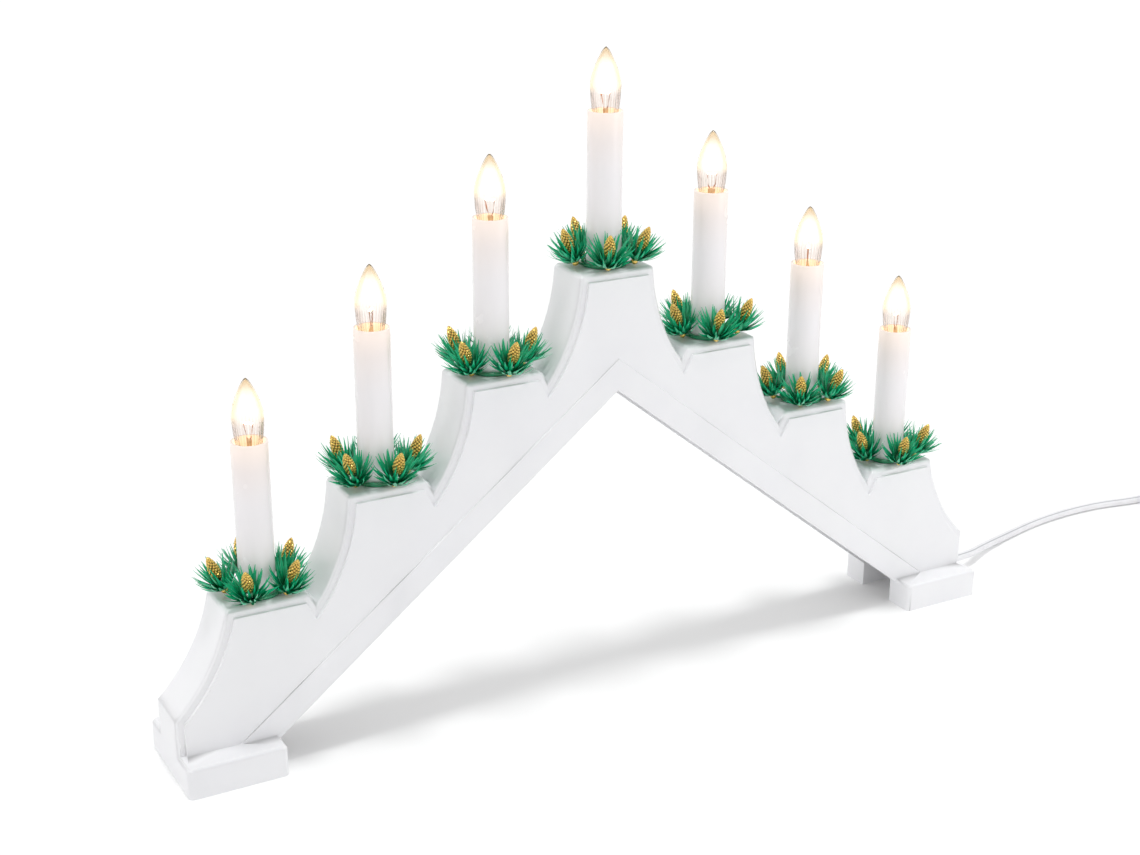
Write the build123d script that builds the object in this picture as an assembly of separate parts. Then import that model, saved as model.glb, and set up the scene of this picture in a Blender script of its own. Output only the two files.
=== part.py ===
from build123d import *
import math
import os

# A window candle arch with seven electric candles on stepped pedestals, all sizes in millimetres.
# X runs along the arch, the front faces -Y, Z is up and the floor is Z = 0.

# The arch as a whole
side_count = 3
arch_span = 420.0
candle_pitch = 55.6
step_rise = 40.5
end_wall_height = 30.0
shoulder_rise = 45.5

# Outline of the pedestals and of the hollow flanks between them
pedestal_width = 37.0
notch_reach = 21.2
notch_drop = 5.5
flank_radius = 85.0

# The straight under edges, which meet in a peak that far below the middle deck
crown_depth = 54.5
under_landing_height = 12.2

# The casing's section and the raised work on its front and back
casing_depth = 25.8
casing_edge_bevel = 1.5
casing_wall = 2.0
border_width = 3.5
panel_rise = 1.25
band_width = 11.5
band_rise = 1.0

# Feet
foot_length = 44.0
foot_depth = 52.0
foot_height = 13.8
foot_corner_radius = 2.4
foot_edge_bevel = 1.2
foot_wall = 2.0

# Candle tubes and the pockets that hold them under each deck
tube_radius = 7.8
tube_wall = 1.1
tube_sides = 20
tube_show = 68.0
tube_insert = 12.0
tube_clearance = 0.15
pocket_wall = 1.6
pocket_hole_width = 8.0

# Lamp holders, pushed into the top of each tube
holder_clearance = 0.05
holder_recess = 5.0
holder_height = 21.0
socket_radius = 5.0
socket_depth = 12.0
centre_contact_radius = 2.2
centre_contact_thickness = 0.5
side_contact_width = 1.6
side_contact_thickness = 0.4
side_contact_height = 8.0
side_contact_clearance = 0.05

# Screw-cap candle lamps
lamp_show = 27.0
lamp_radius = 6.75
glass_wall = 0.6
cap_radius = 4.75
cap_shell_height = 8.3
cap_taper_height = 1.3
cap_tip_radius = 1.8
cap_tip_height = 1.2
cap_rest_gap = 0.2
lamp_sides = 10
stem_radius = 1.1
stem_height = 6.0
stem_foot_height = 1.0
stem_clearance = 0.15
stem_sides = 4
lead_thickness = 0.45
lead_spread = 2.4
filament_height = 13.0
filament_thickness = 0.7
# The glass from its neck to its tip, as shares of its height and of the lamp's radius
glass_height_shares = (0.0, 0.17, 0.33, 0.51, 0.65, 0.79, 0.91, 1.0)
glass_radius_shares = (0.66, 0.86, 0.96, 1.0, 0.86, 0.59, 0.3, 0.06)
# Which of those levels the hollow inside follows
glass_inner_levels = (0, 3, 5)

# Pine rings: a slit-free plastic band with five tufts, loose round each tube
ring_clearance = 0.5
ring_band_width = 2.0
ring_band_height = 1.6
ring_sides = 12
ring_turns_degrees = (22.0, 64.0, 60.0, 32.0, 39.0, 17.0, 42.0)
ring_rest_gap = 0.2
tuft_count = 5
tuft_reach = 15.0
tuft_lift = 5.0
tuft_lean_degrees = 22.0
hub_radius = 2.4
hub_height = 1.6
hub_sides = 6
arm_width = 1.8
arm_height = 1.2
needle_length = 9.4
needle_count = 10
# The needles' climbs over the hub's plane and their shares of the full length, taken in turn
needle_climb_shares = ((0.38, 1.0), (0.62, 0.95), (0.45, 0.9), (0.7, 1.0), (0.34, 0.94))

# Gilt pine cones, pegged through the tufts with a bead below
cone_length = 10.2
cone_radius = 2.7
cone_sides = 5
cone_seat_gap = 0.05
cone_seat_height = 3.1
cone_peg_radius = 0.5
cone_peg_clearance = 0.12
bead_radius = 1.5
bead_height = 2.8
# Each tier of scales: its radius as a share of the cone's, and the share that is left at its top
tier_radius_shares = (0.62, 1.0, 0.78)
tier_top_share = 0.62
cone_point_share = 0.06

# Wiring inside the arch
wire_radius = 0.9
wire_sides = 4
wire_spread = 2.6
wire_bend_ease = 3.5
wire_bend_share = 0.4
link_height = 18.0
return_height = 9.0
return_setback = 4.0
cord_split_gap = 1.2

# Mains cord, its bush in the end wall and its clamp inside the foot
cord_radius = 2.1
cord_sides = 6
fitting_sides = 12
cord_exit_height = 8.0
bush_clearance = 0.1
bush_neck_radius = 3.6
bush_flange_radius = 5.0
bush_flange_thickness = 1.4
bush_nose_length = 6.0
bush_nose_radius = 2.9
clamp_length = 8.0
clamp_width = 19.0
clamp_thickness = 2.4
clamp_setback = 12.0
clamp_gap = 0.1
clamp_screw_spread = 6.5
clamp_screw_radius = 1.2
clamp_screw_clearance = 0.15
clamp_head_radius = 2.4
clamp_head_height = 1.5

# The cord's free run from inside the foot to the coil, point by point
cord_route = (
    (182.0, 0.0, 8.0),
    (226.0, 0.0, 8.0),
    (246.0, 11.5, 4.0),
    (270.0, 20.0, 2.1),
    (306.0, 29.0, 2.1),
    (346.0, 31.0, 2.1),
    (376.0, 24.6, 2.1),
    (401.8, 24.6, 2.1),
)
cord_bend_share = 0.45

# The cord's spare length, coiled on the floor in two layers
coil_turn_pitch = 4.7
coil_inner_radius = 17.0
coil_reversal_turns = 3.75
coil_climb_turns = 0.5
coil_turns = 7
coil_steps_per_turn = 16

# Two-pin plug
plug_width = 35.3
plug_thickness = 13.7
plug_corner = 4.2
plug_head_length = 11.0
plug_body_length = 34.0
plug_tail_width = 15.0
plug_tail_thickness = 11.0
plug_tail_corner = 3.0
coil_end_run = 26.0
plug_sleeve_length = 13.0
plug_sleeve_radius = 4.6
plug_sleeve_end_radius = 3.0
pin_radius = 2.0
pin_length = 19.0
pin_spacing = 18.6
pin_root = 6.0
pin_tip_radius = 0.6

# How far cutting shapes run past what they cut, and how near an edge counts as on a face
overrun = 3.0
pick_margin = 0.2

# Sizes that follow from those above
middle_deck_height = end_wall_height + shoulder_rise + side_count * step_rise
under_peak_height = middle_deck_height - crown_depth
foot_inner = arch_span / 2 - foot_length
under_slope = (under_peak_height - under_landing_height) / foot_inner
band_peak_height = under_peak_height + band_width * math.hypot(1, under_slope)
casing_half = casing_depth / 2
panel_half = casing_half + panel_rise
tube_bore = tube_radius - tube_wall
cap_height = cap_shell_height + cap_taper_height + cap_tip_height
socket_floor = holder_recess + socket_depth
cap_bottom = socket_floor - centre_contact_thickness - cap_rest_gap
glass_height = lamp_show + cap_bottom - cap_height
ring_bore = tube_radius + ring_clearance
socket_corner = socket_radius / math.cos(math.pi / lamp_sides)
coil_start_radius = coil_inner_radius + coil_turn_pitch * coil_reversal_turns
coil_layer_lift = plug_thickness / 2 - cord_radius
candle_steps = range(-side_count, side_count + 1)


def deck_height(step):
    """Height of the pedestal that many steps from the middle."""
    return middle_deck_height - abs(step) * step_rise


def rim_height(step):
    """Height of that candle tube's open top."""
    return deck_height(step) + tube_show


def under_edge_height(x):
    """Height of the arch's under edge at x."""
    return under_peak_height - under_slope * abs(x)


def at(x, y, z):
    """Placement at a point, unturned."""
    return Location((x, y, z))


def plate(low, high):
    """A block between two opposite corners."""
    size = [b - a for a, b in zip(low, high)]
    middle = [(a + b) / 2 for a, b in zip(low, high)]
    return at(*middle) * Box(*size)


def barrel(radius, start, end):
    """A round bar from start to end."""
    run = Vector(*end) - Vector(*start)
    return Plane(origin=start, z_dir=run) * extrude(Circle(radius), run.length)


def flat_solid(outlines):
    """A closed solid from the corners of its flat faces."""
    return Solid(Shell([Face(Wire.make_polygon(outline, close=True)) for outline in outlines]))


def skinned(rings):
    """A solid of flat faces through matching rings of points."""
    outlines = [rings[0][::-1], rings[-1]]
    for lower, upper in zip(rings, rings[1:]):
        for k in range(len(lower)):
            following = (k + 1) % len(lower)
            outlines.append([lower[k], lower[following], upper[following], upper[k]])
    return flat_solid(outlines)


def facet_stack(levels, sides):
    """A solid of flat faces through regular polygons up Z, each a height and a corner radius."""
    rings = []
    for height, radius in levels:
        angles = [2 * math.pi * corner / sides for corner in range(sides)]
        rings.append([Vector(radius * math.cos(a), radius * math.sin(a), height) for a in angles])
    return skinned(rings)


def facet_bar(radius, low, high, sides):
    """An upright bar of flat sides between two heights."""
    return facet_stack([(low, radius), (high, radius)], sides)


def along_x(x, y, z):
    """Frame with its Z along the arch, at a point."""
    return Plane(origin=(x, y, z), z_dir=(1, 0, 0))


# Outline of the casing, drawn in X and Z


def crest_corners():
    """Sharp deck corners, notches and shoulder of the right half, each a list of (x, z)."""
    decks = [(pedestal_width / 2, deck_height(0))]
    notches = []
    for step in range(1, side_count + 1):
        middle = step * candle_pitch
        notches.append((middle - notch_reach, deck_height(step) - notch_drop))
        decks.append((middle - pedestal_width / 2, deck_height(step)))
        decks.append((middle + pedestal_width / 2, deck_height(step)))
    return decks, notches, [(arch_span / 2, end_wall_height)]


def crest_face(floor):
    """Everything under the stepped crest, from end wall to end wall and down to the height floor."""
    decks, notches, shoulder = crest_corners()
    edges = [Line((0, floor), (0, deck_height(0))), Line((0, deck_height(0)), decks[0])]
    for step, notch in enumerate(notches):
        edges.append(RadiusArc(decks[2 * step], notch, -flank_radius))
        edges.append(Line(notch, decks[2 * step + 1]))
        edges.append(Line(decks[2 * step + 1], decks[2 * step + 2]))
    edges.append(RadiusArc(decks[-1], shoulder[0], -flank_radius))
    edges.append(Line(shoulder[0], (arch_span / 2, floor)))
    edges.append(Line((arch_span / 2, floor), (0, floor)))
    half = Sketch() + make_face(edges)
    return half + mirror(half, Plane.YZ)


def under_triangle():
    """The open space below the arch, between the feet."""
    points = [
        (-foot_inner, -overrun),
        (-foot_inner, under_landing_height),
        (0, under_peak_height),
        (foot_inner, under_landing_height),
        (foot_inner, -overrun),
    ]
    return make_face(Polyline(*points, close=True))


def band_triangle():
    """The open space and the band that borders it, down to the floor."""
    reach = band_peak_height / under_slope
    return make_face(Polyline((-reach, 0), (0, band_peak_height), (reach, 0), close=True))


def through(sketch, half_depth):
    """A sketch in X and Z, extruded the same way to the front and the back."""
    return extrude(Plane.XZ * sketch, amount=half_depth, both=True)


# The casing


def casing_block():
    """The arch's body at the level of its border, with its long edges bevelled."""
    block = through(crest_face(0), casing_half) - through(under_triangle(), foot_depth)

    def outer(edge):
        middle = edge.center()
        on_face = abs(abs(middle.Y) - casing_half) < pick_margin
        above = middle.Z > under_edge_height(middle.X) + casing_wall
        return on_face and above and middle.Z > casing_wall

    return chamfer([e for e in block.edges() if outer(e)], casing_edge_bevel)


def relief():
    """The raised panel and the higher band along the under edge, front and back."""
    face = Plane.XZ.offset(casing_half)
    inner = offset(crest_face(0), -border_width, kind=Kind.INTERSECTION)
    panel = extrude(face * inner, amount=panel_rise)
    band = extrude(face * band_triangle(), amount=panel_rise + band_rise)
    front = panel + band - through(under_triangle(), foot_depth)
    return front, mirror(front, Plane.XZ)


def foot(side):
    """One foot, hollow from below at the front and the back of the arch."""
    middle = side * (arch_span - foot_length) / 2
    block = at(middle, 0, foot_height / 2) * Box(foot_length, foot_depth, foot_height)
    block = fillet(block.edges().filter_by(Axis.Z), foot_corner_radius)
    block = chamfer(block.faces().sort_by(Axis.Z)[-1].edges(), foot_edge_bevel)
    half = foot_length / 2 - foot_wall
    for way in (-1, 1):
        near_y = way * panel_half
        far_y = way * (foot_depth / 2 - foot_wall)
        low = (middle - half, min(near_y, far_y), -overrun)
        high = (middle + half, max(near_y, far_y), foot_height - foot_wall)
        block -= plate(low, high)
    return block


def cavity():
    """The hollow inside the casing, open along the under edge and at the floor."""
    inside = offset(crest_face(-2 * overrun), -casing_wall, kind=Kind.INTERSECTION)
    return through(inside, casing_half - casing_wall)


def tube_pocket(step):
    """Two ribs and a shelf that hold a candle tube below its deck."""
    middle = step * candle_pitch
    top = deck_height(step) - casing_wall / 2
    floor = deck_height(step) - tube_insert
    inner = tube_radius + tube_clearance
    reach = casing_half - casing_wall / 2
    shelf = plate(
        (middle - inner - pocket_wall, -reach, floor - pocket_wall),
        (middle + inner + pocket_wall, reach, floor),
    )
    ribs = [
        plate(
            (middle + side * inner + min(0, side * pocket_wall), -reach, floor - pocket_wall),
            (middle + side * inner + max(0, side * pocket_wall), reach, top),
        )
        for side in (-1, 1)
    ]
    return shelf + ribs


def clamp_middle():
    """Where the cord clamp is along X."""
    return arch_span / 2 - casing_wall - clamp_setback


def clamp_shelf():
    """The plate inside the right foot that the cord is clamped against."""
    middle = clamp_middle()
    low = cord_exit_height + cord_radius + clamp_gap
    reach = casing_half - casing_wall / 2
    half = clamp_length / 2
    return plate((middle - half, -reach, low), (middle + half, reach, low + clamp_thickness))


def arch_shell():
    """The whole moulding with its pockets and holes."""
    shell = casing_block() + [*relief(), foot(-1), foot(1)]
    shell -= cavity()
    shell += [tube_pocket(step) for step in candle_steps]
    shell += clamp_shelf()
    for step in candle_steps:
        middle = step * candle_pitch
        floor = deck_height(step) - tube_insert
        hole = facet_bar(tube_radius + tube_clearance, floor, deck_height(step) + overrun, tube_sides)
        shell -= at(middle, 0, 0) * hole
        half = pocket_hole_width / 2
        shell -= plate(
            (middle - half, -half, floor - overrun), (middle + half, half, floor + overrun)
        )
    end = arch_span / 2
    shell -= barrel(
        bush_neck_radius + bush_clearance,
        (end - casing_wall - overrun, 0, cord_exit_height),
        (end + overrun, 0, cord_exit_height),
    )
    for side in (-1, 1):
        low = cord_exit_height + cord_radius - overrun
        y = side * clamp_screw_spread
        radius = clamp_screw_radius + clamp_screw_clearance
        hole = facet_bar(radius, low, low + clamp_thickness + 2 * overrun, hub_sides)
        shell -= at(clamp_middle(), y, 0) * hole
    return shell


# Candles and lamps


def candle_tube():
    """A plain tube that stands on its pocket's shelf, drawn with its rim at the origin."""
    length = tube_show + tube_insert
    bore = tube_bore / math.cos(math.pi / tube_sides)
    outer = facet_bar(tube_radius, -length, 0, tube_sides)
    return outer - facet_bar(bore, -length - overrun, overrun, tube_sides)


def lamp_holder():
    """The insulating socket, with a groove for its side contact, rim of the tube at the origin."""
    top = -holder_recess
    body = facet_bar(tube_bore - holder_clearance, top - holder_height, top, lamp_sides)
    body -= facet_bar(socket_corner, -socket_floor, overrun, lamp_sides)
    depth = side_contact_thickness + side_contact_clearance
    half = side_contact_width / 2 + side_contact_clearance
    groove = plate((0, -half, -socket_floor), (socket_corner + depth, half, overrun))
    return body - groove


def socket_contacts():
    """The spring disc on the socket's floor and the strip up its side, apart from each other."""
    top = -socket_floor + centre_contact_thickness
    disc = facet_bar(centre_contact_radius, -socket_floor, top, hub_sides)
    half = side_contact_width / 2
    inside = socket_corner
    strip = plate(
        (inside, -half, -socket_floor),
        (inside + side_contact_thickness, half, -socket_floor + side_contact_height),
    )
    return [disc, strip]


def glass_levels(wall):
    """Heights above the tube's rim and radii of the lamp's glass, less a wall."""
    low = lamp_show - glass_height
    pairs = zip(glass_height_shares, glass_radius_shares)
    return [(low + glass_height * up, lamp_radius * out - wall) for up, out in pairs]


def lamp_glass():
    """The lamp's envelope: pointed, open at its neck."""
    outer = facet_stack(glass_levels(0), lamp_sides)
    inner = [glass_levels(glass_wall)[level] for level in glass_inner_levels]
    inner.insert(0, (inner[0][0] - overrun, inner[0][1]))
    return outer - facet_stack(inner, lamp_sides)


def lamp_cap():
    """The metal screw cap with its insulated taper and its tip."""
    top = -cap_bottom + cap_height
    low = top - cap_shell_height
    levels = [
        (-cap_bottom, cap_tip_radius),
        (low - cap_taper_height, cap_tip_radius),
        (low, cap_radius),
        (top, cap_radius),
    ]
    return facet_stack(levels, lamp_sides)


def lamp_mount():
    """The stem that closes the neck, its two leads and the filament across them."""
    low = lamp_show - glass_height
    foot_radius = lamp_radius * glass_radius_shares[0] - glass_wall - stem_clearance
    part = facet_bar(foot_radius, low, low + stem_foot_height, hub_sides)
    part += facet_bar(stem_radius, low, low + stem_height, stem_sides)
    half = lead_thickness / 2
    top = low + filament_height
    for side in (-1, 1):
        root = Vector(side * stem_radius / 2, 0, low + stem_height - stem_foot_height)
        head = Vector(side * lead_spread, 0, top)
        section = Rectangle(lead_thickness, lead_thickness)
        rise = head - root
        part += Plane(origin=root, x_dir=(0, 1, 0), z_dir=rise) * extrude(section, rise.length + half)
    thick = filament_thickness / 2
    part += plate((-lead_spread, -thick, top - thick), (lead_spread, thick, top + thick))
    return part


# Pine rings


def tuft_angle(index):
    """A tuft's turn about its candle, in degrees from the ring's own X."""
    return 360 * index / tuft_count


def tuft_place(index):
    """Frame of a tuft's hub: X out from the candle, Z along the leaning hub."""
    return (
        Location((0, 0, 0), (0, 0, tuft_angle(index)))
        * at(tuft_reach, 0, tuft_lift)
        * Location((0, 0, 0), (0, tuft_lean_degrees, 0))
    )


def tuft():
    """A star of ridged needles that climb and taper from a small hub."""
    step = 2 * math.pi / needle_count
    crown = Vector(0, 0, hub_height / 2)
    base = Vector(0, 0, -hub_height / 2)
    outlines = []
    for index in range(needle_count):
        climb_share, length_share = needle_climb_shares[index % len(needle_climb_shares)]
        climb = math.pi / 2 * climb_share
        turn = step * (index + 0.5)
        reach = hub_radius + needle_length * length_share * math.cos(climb)
        rise = needle_length * length_share * math.sin(climb)
        tip = Vector(reach * math.cos(turn), reach * math.sin(turn), rise)
        left = Vector(hub_radius * math.cos(step * index), hub_radius * math.sin(step * index), 0)
        after = step * (index + 1)
        right = Vector(hub_radius * math.cos(after), hub_radius * math.sin(after), 0)
        outlines += [[crown, left, tip], [crown, tip, right], [left, right, tip], [base, right, left]]
    return flat_solid(outlines)


def ring_arm():
    """The sloping arm from the band to a hub, in the plane Y = 0."""
    start = ring_bore + ring_band_width / 2
    lean = math.radians(tuft_lean_degrees)
    rim_reach = tuft_reach - hub_radius * math.cos(lean)
    rim_lift = tuft_lift + hub_radius * math.sin(lean)
    outline = [
        (start, 0),
        (start + arm_height, 0),
        (tuft_reach - hub_radius / 2, tuft_lift),
        (tuft_reach, tuft_lift),
        (rim_reach, rim_lift - hub_height / 4),
        (start, ring_band_height),
    ]
    return through(make_face(Polyline(*outline, close=True)), arm_width / 2)


def pine_ring():
    """The band, arms and tufts in one moulding, its underside at the origin."""
    corner = ring_bore / math.cos(math.pi / ring_sides)
    band = facet_bar(corner + ring_band_width, 0, ring_band_height, ring_sides)
    band -= facet_bar(corner, -overrun, ring_band_height + overrun, ring_sides)
    one = tuft()
    arm = ring_arm()
    drill = facet_bar(cone_peg_radius + cone_peg_clearance, -overrun, overrun, cone_sides)
    turns = [Location((0, 0, 0), (0, 0, tuft_angle(index))) for index in range(tuft_count)]
    places = [tuft_place(index) for index in range(tuft_count)]
    ring = band + [turn * arm for turn in turns] + [place * one for place in places]
    return ring - [place * drill for place in places]


def pine_cone():
    """A scaled cone over a hub, its peg and the bead below, the hub's middle at the origin."""
    bottom = -hub_height / 2 - cone_seat_gap
    seat = cone_seat_height
    levels = [
        (bottom - bead_height, bead_radius / 2),
        (bottom - bead_height / 2, bead_radius),
        (bottom, cone_peg_radius),
        (seat, cone_peg_radius),
    ]
    rise = cone_length / len(tier_radius_shares)
    for tier, share in enumerate(tier_radius_shares):
        low = seat + tier * rise
        last = tier == len(tier_radius_shares) - 1
        top_share = cone_point_share if last else share * tier_top_share
        levels += [(low, cone_radius * share), (low + rise, cone_radius * top_share)]
    return facet_stack(levels, cone_sides)


# Wiring


def faceted_sweep(path, radius, sides):
    """A tube of flat sides along a path."""
    wire = Wire(path) if isinstance(path, list) else path
    start = wire % 0
    section = Plane(origin=wire @ 0, z_dir=start) * RegularPolygon(radius, sides)
    return sweep(section, path=wire)


def mitred_tube(points, radius, sides):
    """A tube of flat sides through points, mitred at each corner."""
    points = [Vector(*point) for point in points]
    ways = [(b - a).normalized() for a, b in zip(points, points[1:])]
    start = Plane(origin=points[0], z_dir=ways[0])
    angles = [2 * math.pi * (corner + 0.5) / sides for corner in range(sides)]
    ring = [
        start.from_local_coords((radius * math.cos(a), radius * math.sin(a), 0)) for a in angles
    ]
    rings = [ring]
    for here, way, following in zip(points[1:], ways, ways[1:] + ways[-1:]):
        normal = way + following
        ring = [p + way * ((here - p).dot(normal) / way.dot(normal)) for p in ring]
        rings.append(ring)
    return skinned(rings)


def eased(points, ease):
    """A route with each inner corner cut off at a distance from it."""
    points = [Vector(*point) for point in points]
    route = [points[0]]
    for before, here, after in zip(points, points[1:], points[2:]):
        into = here - before
        away = after - here
        reach = min(ease, wire_bend_share * into.length, wire_bend_share * away.length)
        route += [here - into.normalized() * reach, here + away.normalized() * reach]
    return route + [points[-1]]


def link_wire(step):
    """The lead from one holder down, along and up to the next holder to the right."""
    left = step * candle_pitch + wire_spread
    right = (step + 1) * candle_pitch - wire_spread
    points = [
        (left, 0, rim_height(step) - holder_recess - holder_height),
        (left, 0, under_edge_height(left) + link_height),
        (right, 0, under_edge_height(right) + link_height),
        (right, 0, rim_height(step + 1) - holder_recess - holder_height),
    ]
    return mitred_tube(eased(points, wire_bend_ease), wire_radius, wire_sides)


def cord_start():
    """Where the cord's sheath ends inside the foot."""
    return Vector(*cord_route[0])


def feed_wires():
    """The two cores: up to the nearest holder, and all the way along to the farthest one."""
    start = cord_start() - Vector(cord_split_gap, 0, 0)
    near_x = side_count * candle_pitch + wire_spread
    far_x = -side_count * candle_pitch - wire_spread
    core = cord_radius / 2
    near_points = [
        (start.X, core, start.Z),
        (near_x, core, start.Z),
        (near_x, core, rim_height(side_count) - holder_recess - holder_height),
    ]
    back = -return_setback
    low = under_edge_height(start.X - foot_height) + return_height
    far_points = [
        (start.X, -core, start.Z),
        (start.X - foot_height / 2, -core, start.Z),
        (start.X - foot_height, back, max(start.Z, low)),
        (0, back, under_peak_height + return_height),
        (far_x, back, under_edge_height(far_x) + return_height),
        (far_x, 0, under_edge_height(far_x) + return_height + link_height),
        (far_x, 0, rim_height(side_count) - holder_recess - holder_height),
    ]
    routes = [eased(near_points, wire_bend_ease), eased(far_points, wire_bend_ease)]
    return [mitred_tube(route, wire_radius, wire_sides) for route in routes]


# Mains cord


def cord_bush():
    """The grommet in the end wall, flanged on both sides, with a short tapered nose."""
    inner = -casing_wall - bush_clearance
    levels = [
        (inner - bush_flange_thickness, bush_flange_radius),
        (inner, bush_flange_radius),
        (inner, bush_neck_radius),
        (bush_clearance, bush_neck_radius),
        (bush_clearance, bush_flange_radius),
        (bush_clearance + bush_flange_thickness, bush_flange_radius),
        (bush_clearance + bush_flange_thickness, bush_neck_radius),
        (bush_clearance + bush_flange_thickness + bush_nose_length, bush_nose_radius),
    ]
    bore = cord_radius / math.cos(math.pi / fitting_sides) + bush_clearance
    body = facet_stack(levels, fitting_sides)
    reach = overrun + bush_flange_thickness + bush_nose_length
    body -= facet_bar(bore, inner - reach, reach + overrun, fitting_sides)
    return along_x(arch_span / 2, 0, cord_exit_height) * body


def cord_clamp():
    """The bar that presses the cord up against the shelf."""
    middle = clamp_middle()
    top = cord_exit_height - cord_radius - clamp_gap
    low = top - clamp_thickness
    half = clamp_length / 2
    bar = plate((middle - half, -clamp_width / 2, low), (middle + half, clamp_width / 2, top))
    for side in (-1, 1):
        radius = clamp_screw_radius + clamp_screw_clearance
        hole = facet_bar(radius, low - overrun, top + overrun, hub_sides)
        bar -= at(middle, side * clamp_screw_spread, 0) * hole
    return bar


def clamp_screws():
    """Two screws from below, through the bar into the shelf."""
    low = cord_exit_height - cord_radius - clamp_gap - clamp_thickness
    top = cord_exit_height + cord_radius + clamp_gap + clamp_thickness
    screws = []
    for side in (-1, 1):
        y = side * clamp_screw_spread
        levels = [
            (low - clamp_head_height, clamp_head_radius),
            (low, clamp_head_radius),
            (low, clamp_screw_radius),
            (top, clamp_screw_radius),
        ]
        screws.append(at(clamp_middle(), y, 0) * facet_stack(levels, hub_sides))
    return screws


def bend_radii(points):
    """The largest tangent arc at each corner of a route, printed as it is found."""
    radii = []
    for before, here, after in zip(points, points[1:], points[2:]):
        into = Vector(*here) - Vector(*before)
        away = Vector(*after) - Vector(*here)
        turn = math.radians(into.get_angle(away))
        radii.append(cord_bend_share * min(into.length, away.length) / math.tan(turn / 2))
    print("cord bend radii", [round(r, 1) for r in radii])
    return radii


def mains_cord():
    """The cord's run from the clamp to the coil."""
    path = FilletPolyline(*cord_route, radius=bend_radii(cord_route))
    tube = faceted_sweep(path, cord_radius, cord_sides)
    section = cord_sides / 2 * cord_radius**2 * math.sin(2 * math.pi / cord_sides)
    print("cord run", round(path.length, 1), "volume ratio", round(tube.volume / (section * path.length), 3))
    return tube


def coil_middle():
    """The coil's axis on the floor, from where the free run ends."""
    end = Vector(*cord_route[-1])
    return Vector(end.X + 2 * cord_radius, end.Y - coil_start_radius, end.Z)


def coil_point(turns):
    """Place on the coil after that many turns, clockwise from its rear."""
    radius = coil_inner_radius + coil_turn_pitch * abs(turns - coil_reversal_turns)
    angle = math.pi / 2 - 2 * math.pi * turns
    share = min(max((turns - coil_reversal_turns) / coil_climb_turns + 0.5, 0), 1)
    lift = coil_layer_lift * share**2 * (3 - 2 * share)
    return coil_middle() + Vector(radius * math.cos(angle), radius * math.sin(angle), lift)


def coil_route():
    """The coil's centre line, with a straight end at each side."""
    count = round(coil_turns * coil_steps_per_turn)
    route = [coil_point(index / coil_steps_per_turn) for index in range(count + 1)]
    first = Vector(*cord_route[-1])
    last = Vector(coil_end_run, 0, 0) + route[-1]
    return [first] + route + [last]


def coil_gap(route):
    """The least gap between two places on the coil that are over half a turn apart."""
    skip = coil_steps_per_turn // 2
    pairs = ((a, b) for i, a in enumerate(route) for b in route[i + skip :])
    return min((a - b).length for a, b in pairs) - 2 * cord_radius


def cord_coil():
    """The coiled spare length as one unbroken tube."""
    route = coil_route()
    length = sum((b - a).length for a, b in zip(route, route[1:]))
    print("coil length", round(length, 1), "gap", round(coil_gap(route), 2))
    return mitred_tube(route, cord_radius, cord_sides)


# Plug


def plug_frame():
    """Frame of the plug: Z from the cord's end towards the pins, Y up."""
    end = coil_route()[-1]
    return Plane(origin=(end.X, end.Y, plug_thickness / 2), x_dir=(0, 1, 0), z_dir=(1, 0, 0))


def cut_corner_ring(frame, width, height, corner):
    """The corners of an upright rectangle whose own corners are cut off, in a frame."""
    half = width / 2
    rise = height / 2
    quarter = [(half, rise - corner), (half - corner, rise)]
    upper = quarter + [(-x, y) for x, y in reversed(quarter)]
    around = upper + [(-x, -y) for x, y in upper]
    return [frame.from_local_coords((x, y, 0)) for x, y in around]


def plug_body():
    """The moulded plug with its tapering sleeve."""
    frame = plug_frame()
    tail = frame.offset(plug_sleeve_length)
    shoulder = frame.offset(plug_sleeve_length + plug_body_length - plug_head_length)
    face = frame.offset(plug_sleeve_length + plug_body_length)
    body = skinned(
        [
            cut_corner_ring(tail, plug_tail_width, plug_tail_thickness, plug_tail_corner),
            cut_corner_ring(shoulder, plug_width, plug_thickness, plug_corner),
            cut_corner_ring(face, plug_width, plug_thickness, plug_corner),
        ]
    )
    sleeve = facet_stack(
        [(0, plug_sleeve_end_radius), (plug_sleeve_length + overrun, plug_sleeve_radius)], fitting_sides
    )
    body += frame * sleeve
    for side in (-1, 1):
        hole = facet_bar(pin_radius, 0, pin_root + overrun, fitting_sides)
        body -= face.offset(-pin_root) * at(side * pin_spacing / 2, 0, 0) * hole
    return body


def plug_pins():
    """Two round pins with blunted tips."""
    face = plug_frame().offset(plug_sleeve_length + plug_body_length - pin_root)
    length = pin_root + pin_length
    pins = []
    for side in (-1, 1):
        levels = [
            (0, pin_radius),
            (length - pin_tip_radius, pin_radius),
            (length, pin_radius - pin_tip_radius),
        ]
        pins.append(face * at(side * pin_spacing / 2, 0, 0) * facet_stack(levels, fitting_sides))
    return pins


# All nodes


def write(name, shape):
    """One node to its STEP file, with a list of solids as one group."""
    solids = shape if isinstance(shape, list) else [shape]
    body = solids[0] if len(solids) == 1 else Compound(children=[s for s in solids])
    export_step(body, f"parts/{name}.step")


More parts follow.
